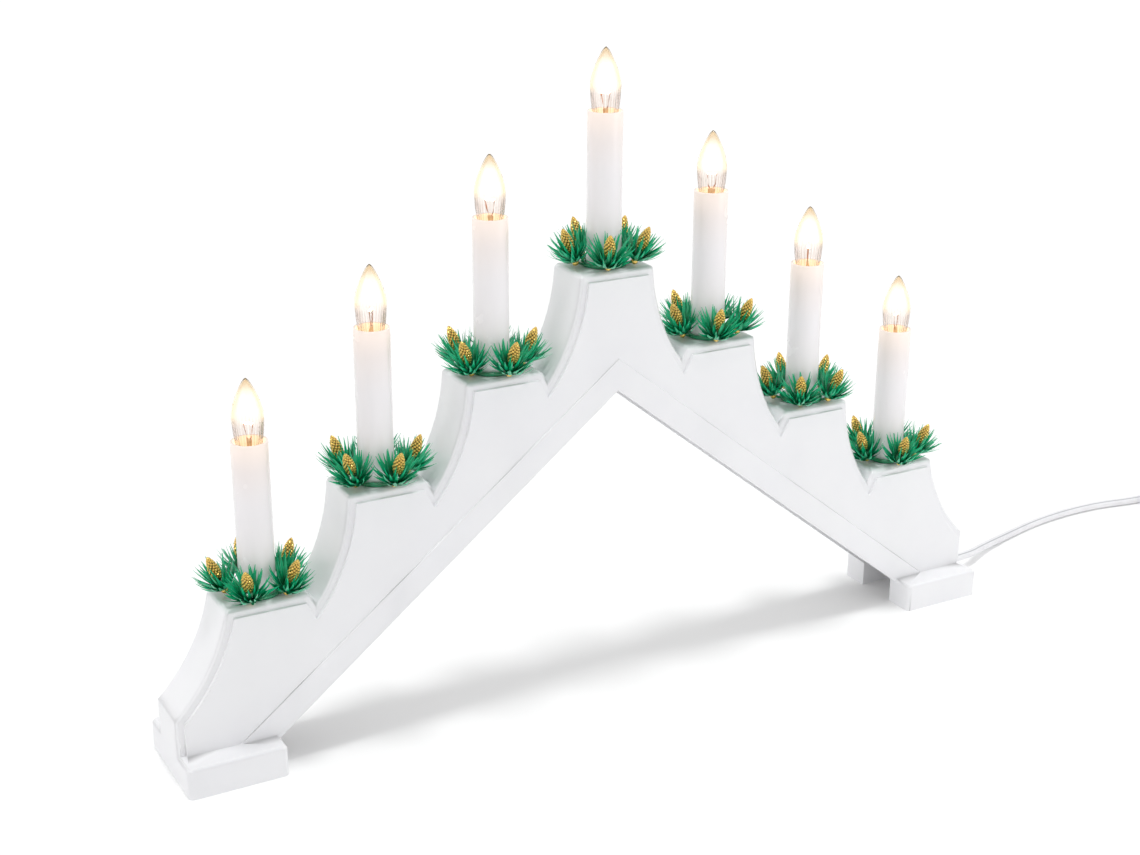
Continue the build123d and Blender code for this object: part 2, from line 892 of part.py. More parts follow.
def all_nodes():
    """Every node's name and its solid or group of solids."""
    nodes = {"arch_shell": arch_shell()}
    tube = candle_tube()
    holder = lamp_holder()
    contacts = socket_contacts()
    glass = lamp_glass()
    cap = lamp_cap()
    mount = lamp_mount()
    ring = pine_ring()
    cone = pine_cone()
    contact_group = []
    for number, step in enumerate(candle_steps, start=1):
        rim = at(step * candle_pitch, 0, rim_height(step))
        deck = at(step * candle_pitch, 0, deck_height(step) + ring_rest_gap)
        deck *= Location((0, 0, 0), (0, 0, ring_turns_degrees[number - 1]))
        nodes[f"candle_tube_{number}"] = rim * tube
        nodes[f"lamp_holder_{number}"] = rim * holder
        nodes[f"lamp_glass_{number}"] = rim * glass
        nodes[f"lamp_cap_{number}"] = rim * cap
        nodes[f"lamp_mount_{number}"] = rim * mount
        nodes[f"pine_ring_{number}"] = deck * ring
        nodes[f"pine_cones_{number}"] = [deck * tuft_place(i) * cone for i in range(tuft_count)]
        contact_group += [rim * contact for contact in contacts]
    nodes["socket_contacts"] = contact_group
    nodes["link_wires"] = [link_wire(step) for step in range(-side_count, side_count)]
    nodes["feed_wires"] = feed_wires()
    nodes["cord_bush"] = cord_bush()
    nodes["cord_clamp"] = cord_clamp()
    nodes["clamp_screws"] = clamp_screws()
    nodes["mains_cord"] = mains_cord()
    nodes["cord_coil"] = cord_coil()
    nodes["plug_body"] = plug_body()
    nodes["plug_pins"] = plug_pins()
    return nodes


def main():
    os.makedirs("parts", exist_ok=True)
    for name, shape in all_nodes().items():
        write(name, shape)


main()
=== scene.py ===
import math
import random

import bmesh
import bpy
from mathutils import Matrix, Vector

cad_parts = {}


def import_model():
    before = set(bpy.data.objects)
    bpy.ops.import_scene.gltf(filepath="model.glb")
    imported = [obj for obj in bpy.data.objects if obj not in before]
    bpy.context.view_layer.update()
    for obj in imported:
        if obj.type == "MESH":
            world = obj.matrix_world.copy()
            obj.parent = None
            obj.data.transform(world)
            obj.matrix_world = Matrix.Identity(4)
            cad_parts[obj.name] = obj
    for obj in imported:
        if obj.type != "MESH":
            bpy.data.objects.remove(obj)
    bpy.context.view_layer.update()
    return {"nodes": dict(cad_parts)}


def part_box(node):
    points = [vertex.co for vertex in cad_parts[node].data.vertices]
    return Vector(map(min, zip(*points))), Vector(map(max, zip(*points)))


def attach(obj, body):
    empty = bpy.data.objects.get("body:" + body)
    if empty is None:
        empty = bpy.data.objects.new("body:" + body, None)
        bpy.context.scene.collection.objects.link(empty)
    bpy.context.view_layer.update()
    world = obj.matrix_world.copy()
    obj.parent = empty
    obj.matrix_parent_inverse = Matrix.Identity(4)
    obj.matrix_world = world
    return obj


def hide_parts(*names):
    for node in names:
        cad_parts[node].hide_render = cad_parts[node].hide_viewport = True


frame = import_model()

# A white window candle arch with seven electric candles, pine rings and gilt cones.
# Meshes are made in millimetres and turned into metres as each piece is finished.
MM = 0.001
WELD = 0.002
chance = random.Random(24)

# Candles, and how far each one's pine ring is turned
candle_count = 7
ring_turns_degrees = (22.0, 64.0, 60.0, 32.0, 39.0, 17.0, 42.0)
ring_rest_gap = 0.2

# Casing finish
casing_half = 12.9
panel_half = 14.15
band_stands = 1.1
band_softened_share = 0.55
foot_top = 13.8
relief_round = 0.48
deck_corner_round = 1.9
foot_corner_round = 2.2
flat_merge_degrees = 0.6
under_face_corners = 12

# Candle tubes and lamps, heights from the tube's rim
tube_wall = 1.1
tube_rim_round = 0.4
# How far down the bore its painted glow reaches, and the wall's rows that carry the painted lamp light
tube_bore_glow = 16.0
tube_glow_rows = (34.0, 14.0)
lamp_show = 27.0
lamp_radius = 6.75
glass_wall = 0.45
glass_height = 32.5
glass_height_shares = (0.0, 0.06, 0.17, 0.33, 0.51, 0.65, 0.79, 0.91, 0.97, 1.0)
glass_radius_shares = (0.66, 0.74, 0.86, 0.96, 1.0, 0.87, 0.62, 0.34, 0.16, 0.0)
flute_count = 26
flute_depth = 0.2
flute_top = 11.0
flute_fade = 6.0
cap_radius = 4.75
cap_bottom = 16.3
cap_height = 10.8
cap_shell_height = 8.3
thread_turns = 3.5
thread_pitch = 1.8
thread_half_width = 0.5
thread_depth = 0.4

# The stem, its leads and the filament: radius and height from the glass's foot
stem_profile = ((0.0, 0.1), (3.4, 0.1), (3.5, 0.6), (1.9, 1.6), (1.25, 3.2), (1.2, 6.0))
stem_top = 6.4
stem_pressed_from = 2.5
stem_pressed_over = 3.0
stem_thinner_share = 0.55
stem_wider_share = 0.25
lead_places = ((0.6, 5.8), (1.5, 8.2), (2.3, 13.0))
lead_overlap = 0.1
lead_radius = 0.16
filament_turns = 11
filament_radius = 0.42
filament_wire_radius = 0.13

# Pine rings, heights from the ring's underside
ring_bore = 8.3
ring_band_width = 2.0
ring_band_height = 1.6
arm_width = 1.8
arm_thickness = 1.0
arm_sag = 0.7
arm_waist_share = 0.25
tuft_count = 5
tuft_reach = 15.0
tuft_lift = 5.0
tuft_lean_degrees = 22.0
# Each tier of needles: how many, root height, root radius, climb and curl in degrees, length, width
needle_tiers = (
    (13, -1.9, 2.2, 12.0, 40.0, 10.4, 2.2),
    (13, -1.5, 2.2, 22.0, 32.0, 11.8, 2.0),
    (12, -1.0, 2.4, 35.0, 22.0, 12.4, 1.8),
    (11, -0.5, 2.5, 49.0, 14.0, 12.4, 1.6),
    (8, 0.0, 2.6, 63.0, 10.0, 11.6, 1.4),
)
needle_thickness = 0.45
needle_swell = 0.55
cup_profile = ((0, -2.6), (1.9, -2.45), (3.5, -1.5), (4.3, -0.2), (3.9, 0.1), (2.2, -0.9), (0, -1.1))
cup_ribs = 13
cup_rib_depth = 0.3
needle_outward_lift_degrees = 12.0
needle_tube_gap = 0.8

# Gilt cones, heights from the tuft's hub
cone_seat = 2.3
cone_length = 11.8
cone_radius = 3.0
cone_fullness = 0.86
cone_taper = 0.28
cone_scales = 92
scale_first_share = 0.03
scale_last_share = 0.98
scale_lean = 0.22
scale_squash = 0.82
scale_root_radius = 0.9
scale_tip_radius = 0.4
scale_thickness = 0.5
bead_radius = 1.5
bead_drop = 3.35

# Mains cord: the route's points in metres, from inside the foot to the coil
cord_diameter = 0.0042
cord_exit = (0.210, 0.0, 0.008)
cord_route = (
    (0.182, 0.0, 0.008),
    (0.226, 0.0, 0.008),
    (0.246, 0.0115, 0.004),
    (0.270, 0.020, 0.0021),
    (0.306, 0.029, 0.0021),
    (0.346, 0.031, 0.0021),
    (0.376, 0.0246, 0.0021),
    (0.4018, 0.0246, 0.0021),
)
coil_turn_pitch = 4.7
coil_inner_radius = 17.0
coil_reversal_turns = 3.75
coil_climb_turns = 0.5
coil_turns = 7
coil_steps_per_turn = 16
coil_lift = 4.75
coil_end_run = 26.0

# Grommet in the end wall, from the wall's face outwards
bush_bore = 2.25
bush_flange_radius = 5.0
bush_waist_radius = 3.55
bush_inner_end = -3.4
bush_nose_end = 7.5
bush_ribs = 4
bush_rib_pitch = 1.4

# Plug, from the cord's end towards the pins
plug_sleeve_length = 13.0
plug_body_length = 34.0
plug_head_length = 11.0
plug_width = 35.3
plug_thickness = 13.7
plug_tail_width = 15.0
plug_tail_thickness = 11.0
pin_radius = 2.0
pin_length = 19.0
pin_spacing = 18.6
pin_root = 6.0
pin_cover_length = 9.9
grip_count = 5
grip_pitch = 2.6
sleeve_ribs = 6
sleeve_rib_pitch = 2.1

# Studio light that reaches the object from its far sides and from behind the camera
studio_bright = 1.0
studio_dim = 0.72
studio_zenith_share = 0.55
right_lamp_place = (0.42, -0.46, 0.24)
right_lamp_aim = (0.16, 0.0, 0.07)
towards_camera_side = (-0.27, -0.96, 0.1)
floor_lift = 0.03

# Camera, in the photograph's frame of 1140 by 855
camera_place = (-0.3861, -0.6661, 0.4018)
camera_yaw = math.radians(29.02)
camera_pitch = math.radians(20.10)
camera_roll = math.radians(0.28)
camera_lens = 56.77


# Node helpers


def feed(tree, socket, value):
    """Links an input to another node's output, or sets its plain value."""
    if isinstance(value, bpy.types.NodeSocket):
        tree.links.new(value, socket)
    else:
        socket.default_value = value


def node(tree, kind, inputs=None, **settings):
    """Adds a node with its settings and its inputs."""
    made = tree.nodes.new(kind)
    for name, value in settings.items():
        setattr(made, name, value)
    for name, value in (inputs or {}).items():
        feed(tree, made.inputs[name], value)
    return made


def rgb(red, green, blue):
    """A colour written as it shows on a screen, from 0 to 255, as linear light."""

    def linear(level):
        share = level / 255
        return share / 12.92 if share <= 0.04045 else ((share + 0.055) / 1.055) ** 2.4

    return (linear(red), linear(green), linear(blue), 1.0)


def new_group(name, inputs, outputs):
    """An empty node group with named sockets, and its two end nodes."""
    tree = bpy.data.node_groups.new(name, "ShaderNodeTree")
    for label, value in inputs.items():
        kind = "NodeSocketColor" if isinstance(value, tuple) else "NodeSocketFloat"
        socket = tree.interface.new_socket(label, in_out="INPUT", socket_type=kind)
        socket.default_value = value
    for label in outputs:
        kind = "NodeSocketColor" if label == "Colour" else "NodeSocketFloat"
        tree.interface.new_socket(label, in_out="OUTPUT", socket_type=kind)
    return tree, tree.nodes.new("NodeGroupInput").outputs, tree.nodes.new("NodeGroupOutput").inputs


def blended(tree, share, first, second):
    """A colour between two colours."""
    return node(tree, "ShaderNodeMix", {0: share, 6: first, 7: second}, data_type="RGBA").outputs[2]


def ranged(tree, value, low, high, to_low, to_high, smooth=False):
    """A value moved from one range to another and held at its ends."""
    kind = "SMOOTHSTEP" if smooth else "LINEAR"
    inputs = {"Value": value, "From Min": low, "From Max": high, "To Min": to_low, "To Max": to_high}
    return node(tree, "ShaderNodeMapRange", inputs, interpolation_type=kind).outputs["Result"]


def maths(tree, operation, first, second=0.0):
    """One sum on two values."""
    return node(tree, "ShaderNodeMath", {0: first, 1: second}, operation=operation).outputs[0]


def noise(tree, scale, detail=2.0, roughness=0.5):
    """Noise in the piece's own coordinates."""
    place = node(tree, "ShaderNodeTexCoord").outputs["Object"]
    inputs = {"Vector": place, "Scale": scale, "Detail": detail, "Roughness": roughness}
    return node(tree, "ShaderNodeTexNoise", inputs).outputs["Fac"]


def attribute(tree, label):
    """A value that is painted on a mesh's points."""
    return node(tree, "ShaderNodeAttribute", attribute_name=label).outputs["Fac"]


def grouped(tree, group, inputs):
    """A shared node group, placed in a material with its own values."""
    return node(tree, "ShaderNodeGroup", inputs, node_tree=group)


def moulded_skin_group():
    """Faint mottling, polish marks and flow waves of moulded plastic or metal."""
    defaults = {
        "Colour": (0.8, 0.8, 0.8, 1),
        "Worn Colour": (0.7, 0.7, 0.7, 1),
        "Patch Size": 60.0,
        "Grain Size": 900.0,
        "Roughness": 0.4,
        "Roughness Spread": 0.1,
    }
    tree, given, result = new_group("moulded_skin", defaults, ("Colour", "Roughness", "Height"))
    patch = noise(tree, given["Patch Size"], 4.0, 0.55)
    grain = noise(tree, given["Grain Size"], 2.0, 0.6)
    worn = ranged(tree, patch, 0.35, 0.75, 0.0, 1.0, True)
    shift = maths(tree, "MULTIPLY", maths(tree, "SUBTRACT", patch, 0.5), given["Roughness Spread"])
    height = maths(tree, "ADD", maths(tree, "MULTIPLY", grain, 0.35), maths(tree, "MULTIPLY", patch, 0.65))
    feed(tree, result["Colour"], blended(tree, worn, given["Colour"], given["Worn Colour"]))
    feed(tree, result["Roughness"], maths(tree, "ADD", given["Roughness"], shift))
    feed(tree, result["Height"], height)
    return tree


def height_glow_group():
    """Two colours by height from the tube's rim, read from an attribute: painted lamp light and glow."""
    defaults = {"Low": -20.0, "High": 0.0, "Colour": (1, 1, 1, 1), "Glow Colour": (1, 0.8, 0.6, 1)}
    tree, given, result = new_group("height_glow", defaults, ("Colour",))
    mask = ranged(tree, attribute(tree, "from_rim"), given["Low"], given["High"], 0.0, 1.0, True)
    feed(tree, result["Colour"], blended(tree, mask, given["Colour"], given["Glow Colour"]))
    return tree


def deep_shade_group():
    """Painted shade by depth: two colours from a relief attribute, with a fine break-up."""
    defaults = {
        "Deep Colour": (0.1, 0.05, 0.02, 1),
        "Raised Colour": (0.8, 0.6, 0.2, 1),
        "Break Size": 700.0,
        "Low": 0.0,
        "High": 1.0,
    }
    tree, given, result = new_group("deep_shade", defaults, ("Colour", "Mask"))
    broken = maths(tree, "SUBTRACT", noise(tree, given["Break Size"]), 0.5)
    level = maths(tree, "ADD", attribute(tree, "relief"), maths(tree, "MULTIPLY", broken, 0.5))
    mask = ranged(tree, level, given["Low"], given["High"], 0.0, 1.0, True)
    feed(tree, result["Colour"], blended(tree, mask, given["Deep Colour"], given["Raised Colour"]))
    feed(tree, result["Mask"], mask)
    return tree


skin_group = moulded_skin_group()
glow_group = height_glow_group()
shade_group = deep_shade_group()


def new_material(name, **constants):
    """A material with its Principled shader's plain values set."""
    material = bpy.data.materials.new(name)
    material.use_nodes = True
    shader = material.node_tree.nodes["Principled BSDF"]
    for label, value in constants.items():
        shader.inputs[label.replace("_", " ")].default_value = value
    return material, material.node_tree, shader


def banded(tree, low, high, below, above):
    """A colour that turns into another between two heights from the tube's rim."""
    values = {"Low": low, "High": high, "Colour": below, "Glow Colour": above}
    return grouped(tree, glow_group, values).outputs["Colour"]


def shaded(tree, deep, raised, grain, low, high):
    """The deep shade group's outputs for a material's two colours."""
    values = {"Deep Colour": deep, "Raised Colour": raised, "Break Size": grain, "Low": low, "High": high}
    return grouped(tree, shade_group, values).outputs


def bumped(tree, shader, height, strength, depth):
    """Roughens a shader's normal by a height."""
    raised = node(tree, "ShaderNodeBump", {"Strength": strength, "Distance": depth, "Height": height})
    feed(tree, shader.inputs["Normal"], raised.outputs["Normal"])


def skinned(
    tree, shader, colour, worn, rough, spread=0.12, patch=60.0, grain=900.0, bump=0.02, depth=0.0002
):
    """Feeds the shader from the moulded skin group, and returns its colour."""
    values = {
        "Colour": colour,
        "Worn Colour": worn,
        "Patch Size": patch,
        "Grain Size": grain,
        "Roughness": rough,
        "Roughness Spread": spread,
    }
    skin = grouped(tree, skin_group, values).outputs
    feed(tree, shader.inputs["Base Color"], skin["Colour"])
    feed(tree, shader.inputs["Roughness"], skin["Roughness"])
    bumped(tree, shader, skin["Height"], bump, depth)
    return skin["Colour"]


# Materials


def casing_plastic():
    """Glossy white polystyrene with faint flow waves."""
    material, tree, shader = new_material(
        "casing_plastic", Coat_Weight=0.25, Coat_Roughness=0.12, Subsurface_Weight=0.08
    )
    shader.inputs["Subsurface Radius"].default_value = (0.002, 0.002, 0.002)
    skinned(tree, shader, rgb(240, 240, 242), rgb(236, 236, 239), 0.36, 0.14, 22.0, 500.0, 0.05, 0.0004)
    return material


def candle_plastic():
    """White tube plastic, with its lamp's warm light painted on towards the rim and a painted glow inside
    its bore.
    """
    material, tree, shader = new_material(
        "candle_plastic", Coat_Weight=0.15, Coat_Roughness=0.2, Emission_Strength=1.0
    )
    # Painted lamp light: the wall turns warmer towards the rim.
    wall = banded(tree, -30.0, 1.0, rgb(244, 241, 243), rgb(250, 238, 232))
    skinned(tree, shader, wall, wall, 0.26, 0.1, 40.0, 700.0, 0.03, 0.0003)
    # Painted glow: faint near the rim, strong and warm inside the bore.
    near_rim = banded(tree, -13.0, 0.6, (0, 0, 0, 1), (0.1, 0.07, 0.04, 1))
    feed(tree, shader.inputs["Emission Color"], banded(tree, 2.0, 15.0, near_rim, (1.0, 0.78, 0.5, 1)))
    return material


def lamp_glass_material():
    """Clear glass with a painted glow round the filament, clear towards the neck, and painted lamp light in
    its warm tints.
    """
    material, tree, shader = new_material(
        "lamp_glass", Roughness=0.03, IOR=1.45, Transmission_Weight=1.0, Emission_Strength=1.0
    )
    # Painted lamp light: warm tints by height, stronger towards the glass's edges
    lower_edge = banded(tree, 6.0, 11.0, rgb(222, 204, 196), rgb(253, 236, 200))
    edge = banded(tree, 19.0, 26.0, lower_edge, rgb(214, 184, 142))
    middle = banded(tree, 19.0, 27.0, (1, 0.995, 0.985, 1), rgb(246, 232, 208))
    facing = node(tree, "ShaderNodeLayerWeight", {"Blend": 0.5}).outputs["Facing"]
    rim = ranged(tree, facing, 0.08, 0.74, 0.0, 1.0, True)
    tinted = blended(tree, rim, middle, edge)
    # Painted shade darkens the flute valleys
    painted_flute_shade = maths(tree, "MULTIPLY", attribute(tree, "valley"), 0.45)
    feed(tree, shader.inputs["Base Color"], blended(tree, painted_flute_shade, tinted, rgb(222, 202, 190)))
    # Painted glow round the filament
    lower_glow = banded(tree, 7.0, 12.5, (0.01, 0.006, 0.002, 1), (0.06, 0.045, 0.02, 1))
    glow = banded(tree, 18.0, 25.5, lower_glow, (0.012, 0.007, 0.002, 1))
    feed(tree, shader.inputs["Emission Color"], glow)
    bumped(tree, shader, noise(tree, 260.0), 0.12, 0.0004)
    return material


def hot_filament():
    """The glowing coil."""
    material, tree, shader = new_material("hot_filament", Emission_Strength=6.0)
    colour = blended(tree, noise(tree, 900.0, 1.0), (1.0, 0.62, 0.24, 1), (1.0, 0.86, 0.6, 1))
    feed(tree, shader.inputs["Emission Color"], colour)
    return material


def stem_glass():
    """The pressed stem, with the lamp's amber light painted into its colour and a painted glow."""
    material, tree, shader = new_material(
        "stem_glass", IOR=1.5, Coat_Weight=0.3, Emission_Color=(0.5, 0.26, 0.09, 1), Emission_Strength=0.35
    )
    skinned(tree, shader, rgb(230, 196, 152), rgb(186, 138, 96), 0.2, 0.1, 300.0, 1500.0, 0.05)
    return material


def metal(name, colour, worn, rough, patch=200.0, bump=0.04):
    """A metal with its own wear."""
    material, tree, shader = new_material(name, Metallic=1.0)
    skinned(tree, shader, colour, worn, rough, 0.2, patch, 2400.0, bump)
    return material


def plastic(name, colour, worn, rough, patch=80.0, bump=0.04, coat=0.0):
    """A plain moulded plastic."""
    material, tree, shader = new_material(name, Coat_Weight=coat, Coat_Roughness=0.2)
    skinned(tree, shader, colour, worn, rough, 0.15, patch, 1200.0, bump)
    return material


def needle_plastic():
    """Emerald film needles, with painted shade towards the root and a painted sheen towards the point."""
    material, tree, shader = new_material("needle_plastic", Coat_Weight=0.2, Coat_Roughness=0.2)
    # Painted shade by depth: roots, band and arms darker, tips and rib tops paler
    green = shaded(tree, rgb(0, 96, 54), rgb(10, 184, 130), 420.0, 0.0, 0.75)["Colour"]
    skinned(tree, shader, green, green, 0.3, 0.25, 500.0, 2600.0, 0.1)
    return material


def gilt():
    """Bright gilding, with painted shade in the recesses: brown and less metallic there."""
    material, tree, shader = new_material("cone_gilt")
    shade = shaded(tree, rgb(84, 50, 14), rgb(228, 194, 108), 900.0, 0.25, 0.85)
    skinned(tree, shader, shade["Colour"], shade["Colour"], 0.28, 0.2, 700.0, 2400.0, 0.15)
    # The painted shade also takes the metal away in the recesses
    feed(tree, shader.inputs["Metallic"], ranged(tree, shade["Mask"], 0.0, 1.0, 0.35, 1.0))
    return material


def cord_sheath():
    """Pale grey sheath, with painted shade where the groove between its two cores lies."""
    material, tree, shader = new_material("cord_sheath")
    sheath = skinned(tree, shader, rgb(238, 238, 240), rgb(228, 228, 231), 0.42, 0.12, 90.0, 1500.0, 0.04)
    around = node(tree, "ShaderNodeTexCoord").outputs["UV"]
    turn = node(tree, "ShaderNodeSeparateXYZ", {"Vector": around}).outputs["Y"]
    half_turn = maths(tree, "FRACT", maths(tree, "MULTIPLY", turn, 2.0))
    from_groove = maths(tree, "ABSOLUTE", maths(tree, "SUBTRACT", half_turn, 0.5))
    # Painted shade: a darker line along the groove between the cores
    groove = ranged(tree, from_groove, 0.0, 0.09, 0.0, 1.0, True)
    feed(tree, shader.inputs["Base Color"], blended(tree, groove, rgb(176, 177, 182), sheath))
    return material


casing_white = casing_plastic()
candle_white = candle_plastic()
clear_glass = lamp_glass_material()
filament_hot = hot_filament()
stem_amber_glow = stem_glass()
lead_copper = metal("lead_wire_copper", rgb(196, 128, 84), rgb(150, 92, 58), 0.3)
cap_nickel = metal("cap_nickel", rgb(196, 192, 184), rgb(150, 142, 128), 0.28, 300.0)
cap_glaze = plastic("cap_glaze_black", rgb(34, 32, 38), rgb(22, 20, 24), 0.18, coat=0.6)
solder = metal("cap_solder", rgb(176, 176, 178), rgb(128, 128, 130), 0.4, 500.0, 0.2)
contact_brass = metal("contact_brass", rgb(206, 168, 92), rgb(150, 112, 52), 0.3)
screw_steel = metal("screw_steel", rgb(184, 184, 188), rgb(132, 130, 130), 0.34)
pin_nickel = metal("pin_nickel", rgb(206, 204, 200), rgb(168, 164, 158), 0.2)
holder_plastic = plastic("holder_plastic", rgb(222, 218, 210), rgb(204, 198, 188), 0.45)
wire_insulation = plastic("wire_insulation", rgb(232, 230, 226), rgb(214, 210, 204), 0.4)
bush_rubber = plastic("bush_rubber", rgb(224, 224, 227), rgb(208, 208, 212), 0.5)
clamp_plastic = plastic("clamp_plastic", rgb(226, 226, 224), rgb(206, 206, 204), 0.5)
plug_plastic = plastic("plug_plastic", rgb(229, 229, 231), rgb(216, 216, 219), 0.38, 30.0, 0.06, 0.15)
needle_green = needle_plastic()
cone_gold = gilt()
sheath_grey = cord_sheath()


# Mesh helpers


def flowing(points, steps):
    """Points on a smooth line through the given ones, a few to each span."""
    line = []
    for index in range(len(points) - 1):
        before = Vector(points[max(index - 1, 0)])
        here = Vector(points[index])
        after = Vector(points[index + 1])
        beyond = Vector(points[min(index + 2, len(points) - 1)])
        for step in range(steps):
            t = step / steps
            pull = (after - before) * 0.5
            push = (beyond - here) * 0.5
            line.append(
                here * (2 * t**3 - 3 * t**2 + 1)
                + pull * (t**3 - 2 * t**2 + t)
                + after * (3 * t**2 - 2 * t**3)
                + push * (t**3 - t**2)
            )
    line.append(Vector(points[-1]))
    return [tuple(point) for point in line]


def turned(profile, steps, closed=False):
    """A new mesh: a profile of (radius, height) spun round Z."""
    bm = bmesh.new()
    chain = [bm.verts.new((radius, 0, height)) for radius, height in profile]
    edges = [bm.edges.new(pair) for pair in zip(chain, chain[1:])]
    if closed:
        edges.append(bm.edges.new((chain[-1], chain[0])))
    whole = {"cent": (0, 0, 0), "axis": (0, 0, 1), "angle": 2 * math.pi, "steps": steps}
    bmesh.ops.spin(bm, geom=chain + edges, use_merge=True, **whole)
    bmesh.ops.remove_doubles(bm, verts=bm.verts, dist=WELD)
    bmesh.ops.recalc_face_normals(bm, faces=bm.faces)
    return bm


def wound(bm, axis, run, turns, steps_per_turn):
    """Winds a flat section round an axis while it moves along it."""
    steps = round(turns * steps_per_turn)
    bmesh.ops.spin(
        bm,
        geom=[*bm.verts, *bm.edges, *bm.faces],
        cent=(0, 0, 0),
        axis=axis,
        dvec=Vector(axis) * run / steps,
        angle=2 * math.pi * turns,
        steps=steps,
    )
    bmesh.ops.recalc_face_normals(bm, faces=bm.faces)


def kept(bm, name):
    """The mesh in a form that can be stamped many times."""
    mesh = bpy.data.meshes.new(name)
    bm.to_mesh(mesh)
    bm.free()
    return mesh


def stamp(bm, mesh, place):
    """Adds a copy of a kept mesh at a place."""
    copy = mesh.copy()
    copy.transform(place)
    bm.from_mesh(copy)
    bpy.data.meshes.remove(copy)


def add(bm, part, place=Matrix()):
    """Moves a smaller mesh into a bigger one."""
    mesh = kept(part, "part")
    stamp(bm, mesh, place)
    bpy.data.meshes.remove(mesh)


def painted(bm, label, value):
    """Writes a value to every corner point of a mesh, from a number or a rule."""
    layer = bm.verts.layers.float.get(label) or bm.verts.layers.float.new(label)
    for vert in bm.verts:
        vert[layer] = value(vert.co) if callable(value) else value
    return bm


def faced(bm, index):
    """Gives every face of a mesh the same material number."""
    for face in bm.faces:
        face.material_index = index
    return bm


def softened(bm, width, segments, degrees, pick=None):
    """Rounds the edges that turn by more than an angle."""
    limit = math.radians(degrees)
    turning = [e for e in bm.edges if len(e.link_faces) == 2 and e.calc_face_angle(0) > limit]
    edges = [e for e in turning if pick is None or pick(e)]
    shape = {"offset": width, "offset_type": "OFFSET", "segments": segments, "profile": 0.5}
    bmesh.ops.bevel(bm, geom=edges, affect="EDGES", material=-1, clamp_overlap=True, **shape)
    return bm


def in_scene(name, data):
    """A new object in the scene."""
    thing = bpy.data.objects.new(name, data)
    bpy.context.scene.collection.objects.link(thing)
    return thing


def piece(bm, name, body, materials, replaced, sharp_degrees=40.0):
    """A finished mesh in millimetres becomes an object in metres that rides on its body."""
    bmesh.ops.scale(bm, vec=(MM, MM, MM), verts=bm.verts)
    mesh = kept(bm, name)
    mesh.shade_smooth()
    mesh.set_sharp_from_angle(angle=math.radians(sharp_degrees))
    for material in materials:
        mesh.materials.append(material)
    thing = in_scene(name, mesh)
    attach(thing, body)
    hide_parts(*replaced)
    return thing


def candle_axis(number):
    """X of a candle and its rim's height, in millimetres."""
    low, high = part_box(f"candle_tube_{number}")
    return (low.x + high.x) / 2 / MM, high.z / MM


def deck_level(number):
    """Height of the pedestal below a candle, in millimetres."""
    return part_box(f"pine_ring_{number}")[0].z / MM - ring_rest_gap


# Casing


def casing():
    """The arch's moulding with its edges and its raised lines softened."""
    bm = bmesh.new()
    bm.from_mesh(frame["nodes"]["arch_shell"].data)
    bmesh.ops.scale(bm, vec=(1 / MM, 1 / MM, 1 / MM), verts=bm.verts)
    bmesh.ops.remove_doubles(bm, verts=bm.verts, dist=WELD)
    limit = math.radians(flat_merge_degrees)
    bmesh.ops.dissolve_limit(bm, angle_limit=limit, verts=bm.verts, edges=bm.edges)
    for vert in bm.verts:
        stands = abs(vert.co.y) - panel_half
        if vert.co.z > foot_top - WELD and 0 < stands <= band_stands:
            vert.co.y = math.copysign(panel_half + stands * band_softened_share, vert.co.y)

    def middle(edge):
        return (edge.verts[0].co + edge.verts[1].co) / 2

    def cross_deck(edge):
        a, b = edge.verts
        spans = abs(a.co.y - b.co.y) > casing_half and abs(a.co.x - b.co.x) < WELD
        return spans and abs(middle(edge).y) < WELD and middle(edge).z > 2 * foot_top and edge.is_convex

    def on_relief(edge):
        place = middle(edge)
        return abs(place.y) > casing_half - WELD and place.z > foot_top + 1

    def on_foot(edge):
        a, b = (vert.co for vert in edge.verts)
        inner, outer = sorted((abs(a.y), abs(b.y)))
        along_top = min(a.z, b.z) > foot_top - WELD and max(a.z, b.z) < foot_top + WELD
        upright = inner > panel_half + 1 and abs(a.z - b.z) > foot_top / 2
        return edge.is_convex and outer > panel_half + 2 and (along_top or upright)

    softened(bm, deck_corner_round, 4, 45, cross_deck)
    softened(bm, foot_corner_round, 4, 45, on_foot)
    softened(bm, relief_round, 3, 55, on_relief)
    shell = piece(bm, "casing", "arch", [casing_white], ("arch_shell",), 50.0)
    for face in shell.data.polygons:
        if face.normal.z < -0.3 and len(face.vertices) < under_face_corners:
            face.use_smooth = False
    modifier = shell.modifiers.new("weighted", "WEIGHTED_NORMAL")
    modifier.keep_sharp = True
    modifier.weight = 60


# Candles and lamps


def candle_tube(number):
    """A plain tube with a rounded rim."""
    x, rim = candle_axis(number)
    low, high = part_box(f"candle_tube_{number}")
    radius = high.x / MM - x
    bore = radius - tube_wall
    length = rim - low.z / MM
    outside = [(radius, -drop) for drop in (length, *tube_glow_rows, 0)]
    bm = turned([(bore, -length), *outside, (bore, 0), (bore, -tube_glow_rows[-1])], 48, closed=True)
    softened(bm, tube_rim_round, 3, 50, lambda edge: all(v.co.z > -WELD for v in edge.verts))

    # The bore's points read as higher, so that the painted glow fills it further down
    def glow_level(place):
        in_bore = math.hypot(place.x, place.y) < bore + tube_rim_round / 2
        return place.z + tube_bore_glow if in_bore else place.z

    painted(bm, "from_rim", glow_level)
    bmesh.ops.translate(bm, vec=(x, 0, rim), verts=bm.verts)
    piece(bm, f"candle_{number}", "arch", [candle_white], (f"candle_tube_{number}",))


def glass_line(wall):
    """The glass's outline from neck to tip, less a wall."""
    low = lamp_show - glass_height
    pairs = zip(glass_height_shares, glass_radius_shares)
    points = flowing([(lamp_radius * out, low + glass_height * up) for up, out in pairs], 3)
    drop = wall / glass_height
    return [(max(radius - wall, 0), height - drop * (height - low)) for radius, height in points]


